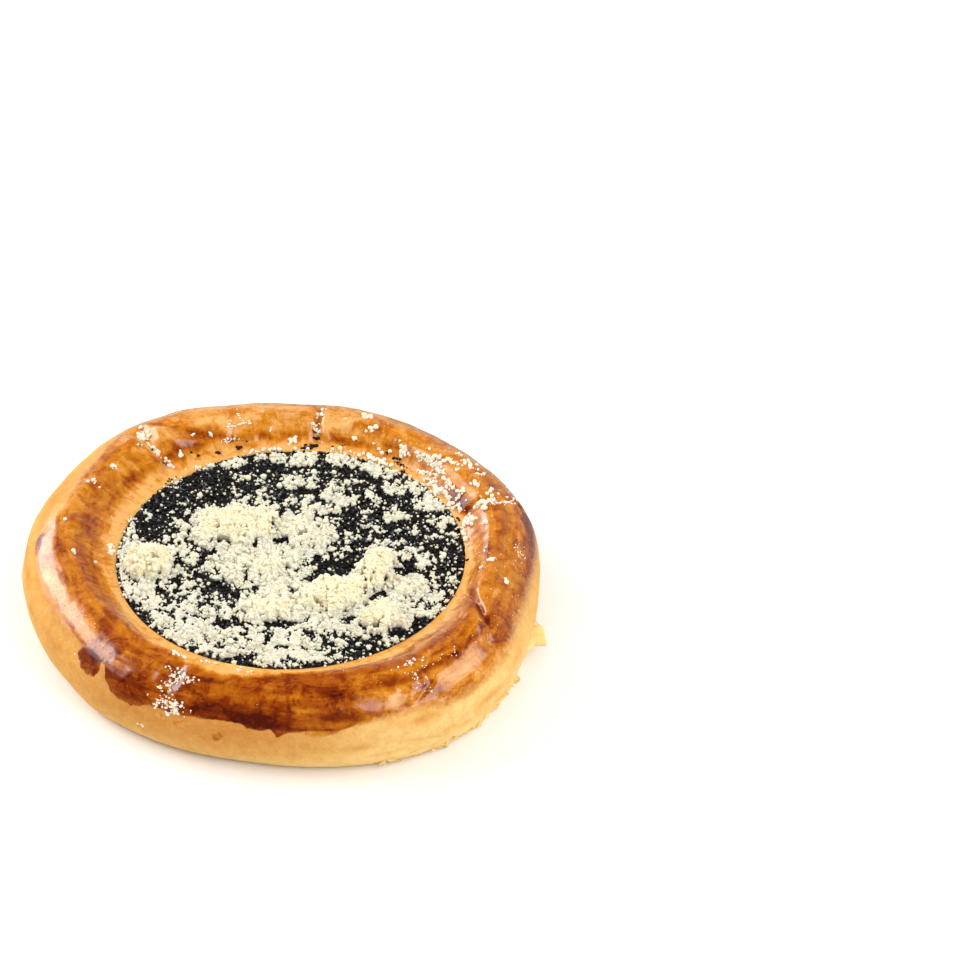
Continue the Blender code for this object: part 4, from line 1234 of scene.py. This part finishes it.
def make_seeds(filling, rng):
    """Ground and whole seeds on the filling wherever the streusel leaves it bare."""
    x, y = scatter_spots(filling.seed_spacing, rng)
    buried = mound_height(x, y, HEAP_MOUNDS + LUMP_MOUNDS) > 0.0006
    shown = ~buried | (hole_share(x, y) > 0.2)
    x, y = x[shown], y[shown]
    radii = filling.seed_radius * rng.uniform(0.65, 1.35, len(x))
    z = filling_height(filling, x, y) + radii * rng.uniform(0.0, 0.7, len(x))
    points, faces, owner = crumbs(np.stack([x, y, z], axis=-1), radii, rng, 0.8, 0.22)
    # A few seeds are toned lighter: painted glints on them.
    tone = (rng.uniform(0.0, 1.0, len(x)) ** 3.0)[owner]
    make_piece("poppy_seeds", points, [faces], {"tone": 0.55 * tone},
               bpy.data.materials["ground_poppy_seed"], "poppy_filling")


def closed_field(top, bottom, keep):
    """A closed mesh between two grids of points, over the grid squares that are kept."""
    rows, columns = keep.shape
    number = np.arange(rows * columns).reshape(rows, columns)
    square = keep[:-1, :-1] & keep[1:, :-1] & keep[:-1, 1:] & keep[1:, 1:]
    a, b = number[:-1, :-1][square], number[:-1, 1:][square]
    c, d = number[1:, 1:][square], number[1:, :-1][square]
    shift = rows * columns
    sets = [np.stack([a, b, c, d], axis=-1), np.stack([d, c, b, a], axis=-1) + shift]
    framed = np.pad(square, 1)
    sides = ((framed[:-2, 1:-1], number[:-1, :-1], number[:-1, 1:]),
             (framed[1:-1, 2:], number[:-1, 1:], number[1:, 1:]),
             (framed[2:, 1:-1], number[1:, 1:], number[1:, :-1]),
             (framed[1:-1, :-2], number[1:, :-1], number[:-1, :-1]))
    for beside, first, second in sides:
        open_side = square & ~beside
        p, q = first[open_side], second[open_side]
        sets.append(np.stack([q, p, p + shift, q + shift], axis=-1))
    faces = np.concatenate(sets)
    points = np.concatenate([top, bottom])
    used, renumbered = np.unique(faces, return_inverse=True)
    return points[used], renumbered.reshape(faces.shape)


def make_sheet(name, x, y, surface, height, shape, filling, material, node):
    """A closed, crumbly sheet of streusel where its height is over 0."""
    base = filling_height(filling, x, y)
    top = surface + upward(base + 0.0001)
    bottom = np.stack([x, y, base - 0.0004], axis=-1)
    points, faces = closed_field(top, bottom, (height > 0.0).reshape(shape))
    thick = points[:, 2] - filling_height(filling, points[:, 0], points[:, 1])
    # Thin streusel is toned toward grey: painted shade from the dark filling under it.
    tone = 0.66 - 0.60 * fade(thick, 0.0003, 0.0028) + 0.10 * waves(points, 0.0035, 83.0)
    make_piece(name, points, [faces], {"tone": np.clip(tone, 0.0, 1.0)}, material, node)


def pocket_grid(step):
    """Points of an even grid over the pocket, and the grid's shape."""
    steps = np.arange(-POCKET_REACH, POCKET_REACH, step)
    x, y = np.meshgrid(steps + POCKET_CENTRE[0], steps + POCKET_CENTRE[1])
    return x.ravel(), y.ravel(), x.shape


def in_pocket(x, y, spare=0.0):
    """True for points over the filling."""
    return np.hypot(x - POCKET_CENTRE[0], y - POCKET_CENTRE[1]) < POCKET_REACH - spare


def make_heap(name, mounds, material, streusel, filling, rng):
    """A heap of streusel: a crumbly body, and loose crumbs on it."""
    levels = relief_levels()
    x, y, shape = pocket_grid(streusel.sheet_step)
    near = mound_height(x, y, [(m[0], m[1], m[2] + 0.004, m[3] + 0.004, 1.0, m[5], 1.0)
                               for m in mounds]) > 0.0
    surface, height, mound = on_plane(x, y), np.full(len(x), -1.0), np.zeros(len(x))
    surface[near], height[near], mound[near] = streusel_surface(
        x[near], y[near], mounds, 0.0, levels)
    height[(mound <= 0.0) | ~in_pocket(x, y)] = -1.0
    make_sheet(name + "_core", x, y, surface, height, shape, filling, material, name)

    x, y = scatter_spots(streusel.heap_spacing, rng)
    surface, height, mound = streusel_surface(x, y, mounds, 0.0, levels)
    heaped = mound > 0.0
    # Crumbs lie on most spots of the relief, and in one gap of ten.
    chance = np.where(height > 0.0, 0.88, 0.10)
    points, faces, tone = loose_crumbs(streusel, filling, surface[heaped], chance[heaped], rng)
    make_piece(name + "_crumbs", points, [faces], {"tone": tone}, material, name)


def loose_crumbs(streusel, filling, places, chance, rng):
    """Crumbs at a share of the places, one in twelve of them a large one."""
    places = places[rng.uniform(0.0, 1.0, len(places)) < chance]
    count = len(places)
    large = rng.uniform(0.0, 1.0, count) < LARGE_SHARE
    radii = streusel.crumb_radius * rng.uniform(0.50, 1.25, count)
    radii = np.where(large, streusel.large_radius * rng.uniform(0.7, 1.3, count), radii)
    toasted = rng.uniform(0.0, 1.0, count) < TOASTED_SHARE
    # Crumbs lying low over the filling are toned toward grey: painted shade from the dark filling
    # under them.
    tone = 0.66 - 0.60 * fade(places[:, 2], 0.0003, 0.0026)
    tone = np.where(toasted, 1.0, tone + 0.12 * rng.uniform(-1.0, 1.0, count))
    base = filling_height(filling, places[:, 0], places[:, 1])
    lift = base + radii * rng.uniform(0.1, 0.8, count)
    centres = places + upward(lift)
    parts = []
    for chosen, subdivisions in ((large, 2), (~large, 1)):
        points, faces, owner = crumbs(centres[chosen], radii[chosen], rng, 0.85, 0.27, subdivisions)
        parts.append((points, faces, np.clip(tone[chosen][owner], 0.0, 1.0)))
    return joined(parts)


def make_drifts(streusel, filling, material, rng):
    """Thin drifts and clots of streusel on the filling round the heaps, and their loose crumbs."""
    levels = relief_levels()
    x, y, shape = pocket_grid(streusel.sheet_step)
    surface, height, _ = streusel_surface(x, y, (), drift_share(x, y), levels)
    heaped = streusel_surface(x, y, HEAP_MOUNDS + LUMP_MOUNDS, 0.0, levels)[2] > 0.0003
    height[heaped | ~in_pocket(x, y, 0.0006)] = -1.0
    make_sheet("streusel_drifts", x, y, surface, height, shape, filling, material, "poppy_filling")

    x, y = scatter_spots(streusel.crumb_spacing, rng)
    cover = drift_share(x, y)
    surface, height, _ = streusel_surface(x, y, (), cover, levels)
    heaped = streusel_surface(x, y, HEAP_MOUNDS + LUMP_MOUNDS, 0.0, levels)[2] > 0.0
    # Crumbs lie on half of the relief's spots, and here and there between them.
    chance = np.where(heaped, 0.0, np.where(height > 0.0, 0.54, 0.04 + 0.07 * cover))
    points, faces, tone = loose_crumbs(streusel, filling, surface, chance, rng)
    make_piece("streusel_drift_crumbs", points, [faces], {"tone": tone}, material,
               "poppy_filling")


def make_fine_crumbs(streusel, filling, material, rng):
    """Single crumbs and their dust, all over the filling and thicker beside the drifts."""
    x, y = scatter_spots(streusel.dust_spacing, rng)
    heaped = mound_height(x, y, HEAP_MOUNDS + LUMP_MOUNDS) > 0.0009
    chance = 0.10 + 0.24 * drift_share(x, y) * (1.0 - 0.8 * hole_share(x, y))
    shown = (rng.uniform(0.0, 1.0, len(x)) < chance) & ~heaped
    x, y = x[shown], y[shown]
    radii = streusel.crumb_radius * (0.28 + 0.62 * rng.uniform(0.0, 1.0, len(x)) ** 2)
    z = filling_height(filling, x, y) + radii * rng.uniform(0.6, 1.6, len(x)) + 0.0001
    points, faces, owner = crumbs(np.stack([x, y, z], axis=-1), radii, rng, 0.85, 0.28)
    tone = rng.uniform(0.3, 0.9, len(x))[owner]
    make_piece("streusel_fine_crumbs", points, [faces], {"tone": tone}, material,
               "poppy_filling")


def on_rim(bun, filling, degrees, across, lift):
    """Places on the crust, lifted off it."""
    across = np.clip(across, -0.98, 1.6)
    skin = crust_skin(bun, filling, degrees, across)
    _, out = rim_section(bun, filling, degrees, across)
    out = out + (0.0, 0.0, 0.6)
    return skin + out / np.linalg.norm(out, axis=-1, keepdims=True) * lift[:, None]


def make_rim_crumbs(bun, filling, material, rng):
    """Crumbs that fell on the rim or were caught in its creases, and their dust."""
    degrees, across, radii = [], [], []
    for direction, at, spread, spread_across, count, radius in RIM_CLUSTERS:
        degrees.append(direction + 0.75 * spread * rng.standard_normal(count))
        across.append(at + 0.75 * spread_across * rng.standard_normal(count))
        radii.append(radius * MM * rng.uniform(0.5, 1.25, count))
    for count, radius, first, last in RIM_ROWS:
        share = rng.uniform(0.0, 1.0, count)
        degrees.append(first[0] + (last[0] - first[0]) * share + 0.60 * rng.standard_normal(count))
        across.append(first[1] + (last[1] - first[1]) * share)
        radii.append(radius * MM * rng.uniform(0.5, 1.3, count))
    degrees.append(10.0 + 42.0 * rng.standard_normal(RIM_DUST))
    across.append(rng.uniform(-0.9, 0.6, RIM_DUST))
    radii.append(MM * rng.uniform(0.06, 0.13, RIM_DUST))
    degrees, across, radii = (np.concatenate(v) for v in (degrees, across, radii))
    # Smaller grains cling to most of the crumbs.
    host = np.repeat(np.arange(len(radii)), rng.poisson(0.8, len(radii)) * (radii > 0.00018))
    way, around = radii[host] * 1.15, rng.uniform(0.0, math.tau, len(host))
    degrees = np.append(degrees, degrees[host] + np.degrees(way * np.cos(around) / CRUMB_RING))
    across = np.append(across, across[host] + way * np.sin(around) / INNER_ARC)
    radii = np.append(1.12 * radii, radii[host] * rng.uniform(0.4, 0.8, len(host)))
    centres = on_rim(bun, filling, degrees, across, radii * 0.45)
    points, faces, owner = crumbs(centres, radii, rng, 0.85, 0.28)
    tone = rng.uniform(0.0, 0.5, len(radii))[owner]
    make_piece("rim_crumbs", points, [faces], {"tone": tone}, material, "bun")


def make_specks(bun, filling, rng):
    """Poppy seeds that stuck to the dough round the filling."""
    degrees = [d + 0.7 * s * rng.standard_normal(n) for d, _, s, n, _ in SPECKS]
    across = [a + 0.02 * rng.standard_normal(n) for _, a, _, n, _ in SPECKS]
    radii = [r * MM * rng.uniform(0.6, 1.2, n) for _, _, _, n, r in SPECKS]
    degrees, across, radii = (np.concatenate(v) for v in (degrees, across, radii))
    centres = on_rim(bun, filling, degrees, across, radii * 0.1)
    points, faces, owner = crumbs(centres, radii, rng, 0.7, 0.25)
    make_piece("rim_poppy_specks", points, [faces], {"tone": 0.2 + 0.0 * owner},
               bpy.data.materials["ground_poppy_seed"], "bun")


def soft_box(name, azimuth, elevation, distance, width, height, power, roll=0.0):
    """A soft box that faces the kolache from a direction and a height, and is rolled on its own
    axis, all in degrees."""
    turn, lift = math.radians(azimuth), math.radians(elevation)
    away = Vector((math.cos(turn) * math.cos(lift), math.sin(turn) * math.cos(lift),
                   math.sin(lift)))
    light = bpy.data.lights.new(name, "AREA")
    light.shape = "RECTANGLE"
    light.size, light.size_y = width, height
    light.energy = power
    lamp = bpy.data.objects.new(name, light)
    lamp.location = away * distance
    facing = away.to_track_quat("Z", "Y") @ Quaternion((0.0, 0.0, 1.0), math.radians(roll))
    lamp.rotation_euler = facing.to_euler()
    bpy.context.scene.collection.objects.link(lamp)
    return lamp


class KOLACHE_OT_bun(bpy.types.Operator):
    """Bake the bun: its egg-washed crust and its torn foot"""
    bl_idname = "kolache.bun"
    bl_label = "Bun"

    def execute(self, context):
        scene = context.scene
        make_crust(scene.kolache_bun, scene.kolache_filling, scene.kolache_colours)
        make_torn_foot(scene.kolache_bun, scene.kolache_filling, scene.kolache_colours,
                       np.random.RandomState(3))
        return {"FINISHED"}


class KOLACHE_OT_filling(bpy.types.Operator):
    """Fill the pocket with ground poppy seed"""
    bl_idname = "kolache.filling"
    bl_label = "Poppy filling"

    def execute(self, context):
        scene = context.scene
        make_paste(scene.kolache_bun, scene.kolache_filling, scene.kolache_colours)
        make_seeds(scene.kolache_filling, np.random.RandomState(5))
        return {"FINISHED"}


class KOLACHE_OT_streusel(bpy.types.Operator):
    """Heap and scatter the streusel on the filling"""
    bl_idname = "kolache.streusel"
    bl_label = "Streusel"

    def execute(self, context):
        scene, colours = context.scene, context.scene.kolache_colours
        material = streusel_material("baked_streusel", colours.streusel_cream,
                                     colours.streusel_thin_shaded, colours.streusel_gold, 0.25)
        rng = np.random.RandomState(7)
        for name, mounds in (("streusel_heap", HEAP_MOUNDS), ("streusel_lump", LUMP_MOUNDS)):
            make_heap(name, mounds, material, scene.kolache_streusel, scene.kolache_filling, rng)
        make_drifts(scene.kolache_streusel, scene.kolache_filling, material, rng)
        make_fine_crumbs(scene.kolache_streusel, scene.kolache_filling, material, rng)
        return {"FINISHED"}


class KOLACHE_OT_rim_crumbs(bpy.types.Operator):
    """Strew the rim with the crumbs and seeds that fell on it"""
    bl_idname = "kolache.rim_crumbs"
    bl_label = "Crumbs on the rim"

    def execute(self, context):
        scene, colours = context.scene, context.scene.kolache_colours
        material = streusel_material("dry_streusel_crumb", colours.rim_crumb,
                                     colours.streusel_cream, colours.streusel_gold, 0.30)
        rng = np.random.RandomState(9)
        make_rim_crumbs(scene.kolache_bun, scene.kolache_filling, material, rng)
        make_specks(scene.kolache_bun, scene.kolache_filling, rng)
        return {"FINISHED"}


class KOLACHE_OT_studio(bpy.types.Operator):
    """Set up the floor, the soft boxes, the room's light and the camera"""
    bl_idname = "kolache.studio"
    bl_label = "Studio"

    def execute(self, context):
        scene, studio = context.scene, context.scene.kolache_studio
        shape = bmesh.new()
        bmesh.ops.create_circle(shape, cap_ends=True, segments=96, radius=studio.floor_radius)
        mesh = bpy.data.meshes.new("floor")
        shape.to_mesh(mesh)
        shape.free()
        mesh.materials.append(floor_material(list(studio.floor_colour)))
        floor = bpy.data.objects.new("floor", mesh)
        scene.collection.objects.link(floor)
        # The crust mirrors the dim room below it, not the floor.
        floor.visible_glossy = False
        # The left box and its dimmer rim, which softens the edge of its reflection.
        soft_box("left_soft_box", 154.0, 30.0, 0.9, 0.95, 0.36, 0.62 * studio.left_power, 27.0)
        soft_box("left_box_rim", 154.0, 29.0, 0.92, 1.30, 0.62, 0.55 * studio.left_power, 27.0)
        soft_box("right_soft_box", -26.0, 42.0, 0.9, 1.10, 0.60, studio.right_power)
        fills = (soft_box("ceiling_fill", 120.0, 72.0, 1.4, 1.60, 1.60, studio.ceiling_power),
                 soft_box("front_fill", -95.0, 36.0, 1.4, 1.60, 1.60, studio.front_power))
        for fill in fills:
            fill.visible_glossy = False

        world = bpy.data.worlds.new("room")
        world.use_nodes = True
        tree = world.node_tree
        tree.nodes.clear()
        toward = add_node(tree, "ShaderNodeTexCoord")
        axes = add_node(tree, "ShaderNodeSeparateXYZ", links={0: toward.outputs["Generated"]})
        # A white wall at the back, which dims towards the ceiling and towards the front.
        wall = ranged(tree, axes.outputs["Y"], -0.35, 0.65, 0.04, 0.44, "SMOOTHSTEP")
        ceiling = ranged(tree, axes.outputs["Z"], 0.45, 0.85, 1.0, 0.15, "SMOOTHSTEP")
        light = add_node(tree, "ShaderNodeBackground", {"Strength": studio.room_strength},
                         {"Color": sums(tree, "MULTIPLY", wall, ceiling)})
        add_node(tree, "ShaderNodeOutputWorld", links={"Surface": light.outputs["Background"]})
        scene.world = world

        camera = bpy.data.cameras.new("camera")
        camera.lens = CAMERA_LENS
        camera.sensor_width = CAMERA_SENSOR
        eye = bpy.data.objects.new("camera", camera)
        eye.location = CAMERA_PLACE
        eye.rotation_euler = (math.radians(CAMERA_TILT), 0.0, 0.0)
        scene.collection.objects.link(eye)
        scene.camera = eye
        scene.view_settings.view_transform = "Standard"
        return {"FINISHED"}


OPERATORS = (KOLACHE_OT_bun, KOLACHE_OT_filling, KOLACHE_OT_streusel, KOLACHE_OT_rim_crumbs,
             KOLACHE_OT_studio)
SETTINGS = (
    ("kolache_bun", KolacheBunSizes),
    ("kolache_filling", KolacheFillingSizes),
    ("kolache_streusel", KolacheStreuselSizes),
    ("kolache_colours", KolacheColours),
    ("kolache_studio", KolacheStudio),
)


class KOLACHE_PT_panel(bpy.types.Panel):
    """The kolache's steps and settings"""
    bl_label = "Kolache"
    bl_space_type = "VIEW_3D"
    bl_region_type = "UI"
    bl_category = "Kolache"

    def draw(self, context):
        for operator in OPERATORS:
            self.layout.operator(operator.bl_idname)
        for name, group in SETTINGS:
            box = self.layout.box()
            for key in group.__annotations__:
                box.prop(getattr(context.scene, name), key)


def register():
    for name, group in SETTINGS:
        bpy.utils.register_class(group)
        setattr(bpy.types.Scene, name, bpy.props.PointerProperty(type=group))
    for operator in OPERATORS:
        bpy.utils.register_class(operator)
    bpy.utils.register_class(KOLACHE_PT_panel)


def unregister():
    bpy.utils.unregister_class(KOLACHE_PT_panel)
    for operator in reversed(OPERATORS):
        bpy.utils.unregister_class(operator)
    for name, group in reversed(SETTINGS):
        delattr(bpy.types.Scene, name)
        bpy.utils.unregister_class(group)


def main():
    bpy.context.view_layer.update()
    register()
    bpy.ops.kolache.bun()
    bpy.ops.kolache.filling()
    bpy.ops.kolache.streusel()
    bpy.ops.kolache.rim_crumbs()
    bpy.ops.kolache.studio()


if __name__ == "__main__":
    main()
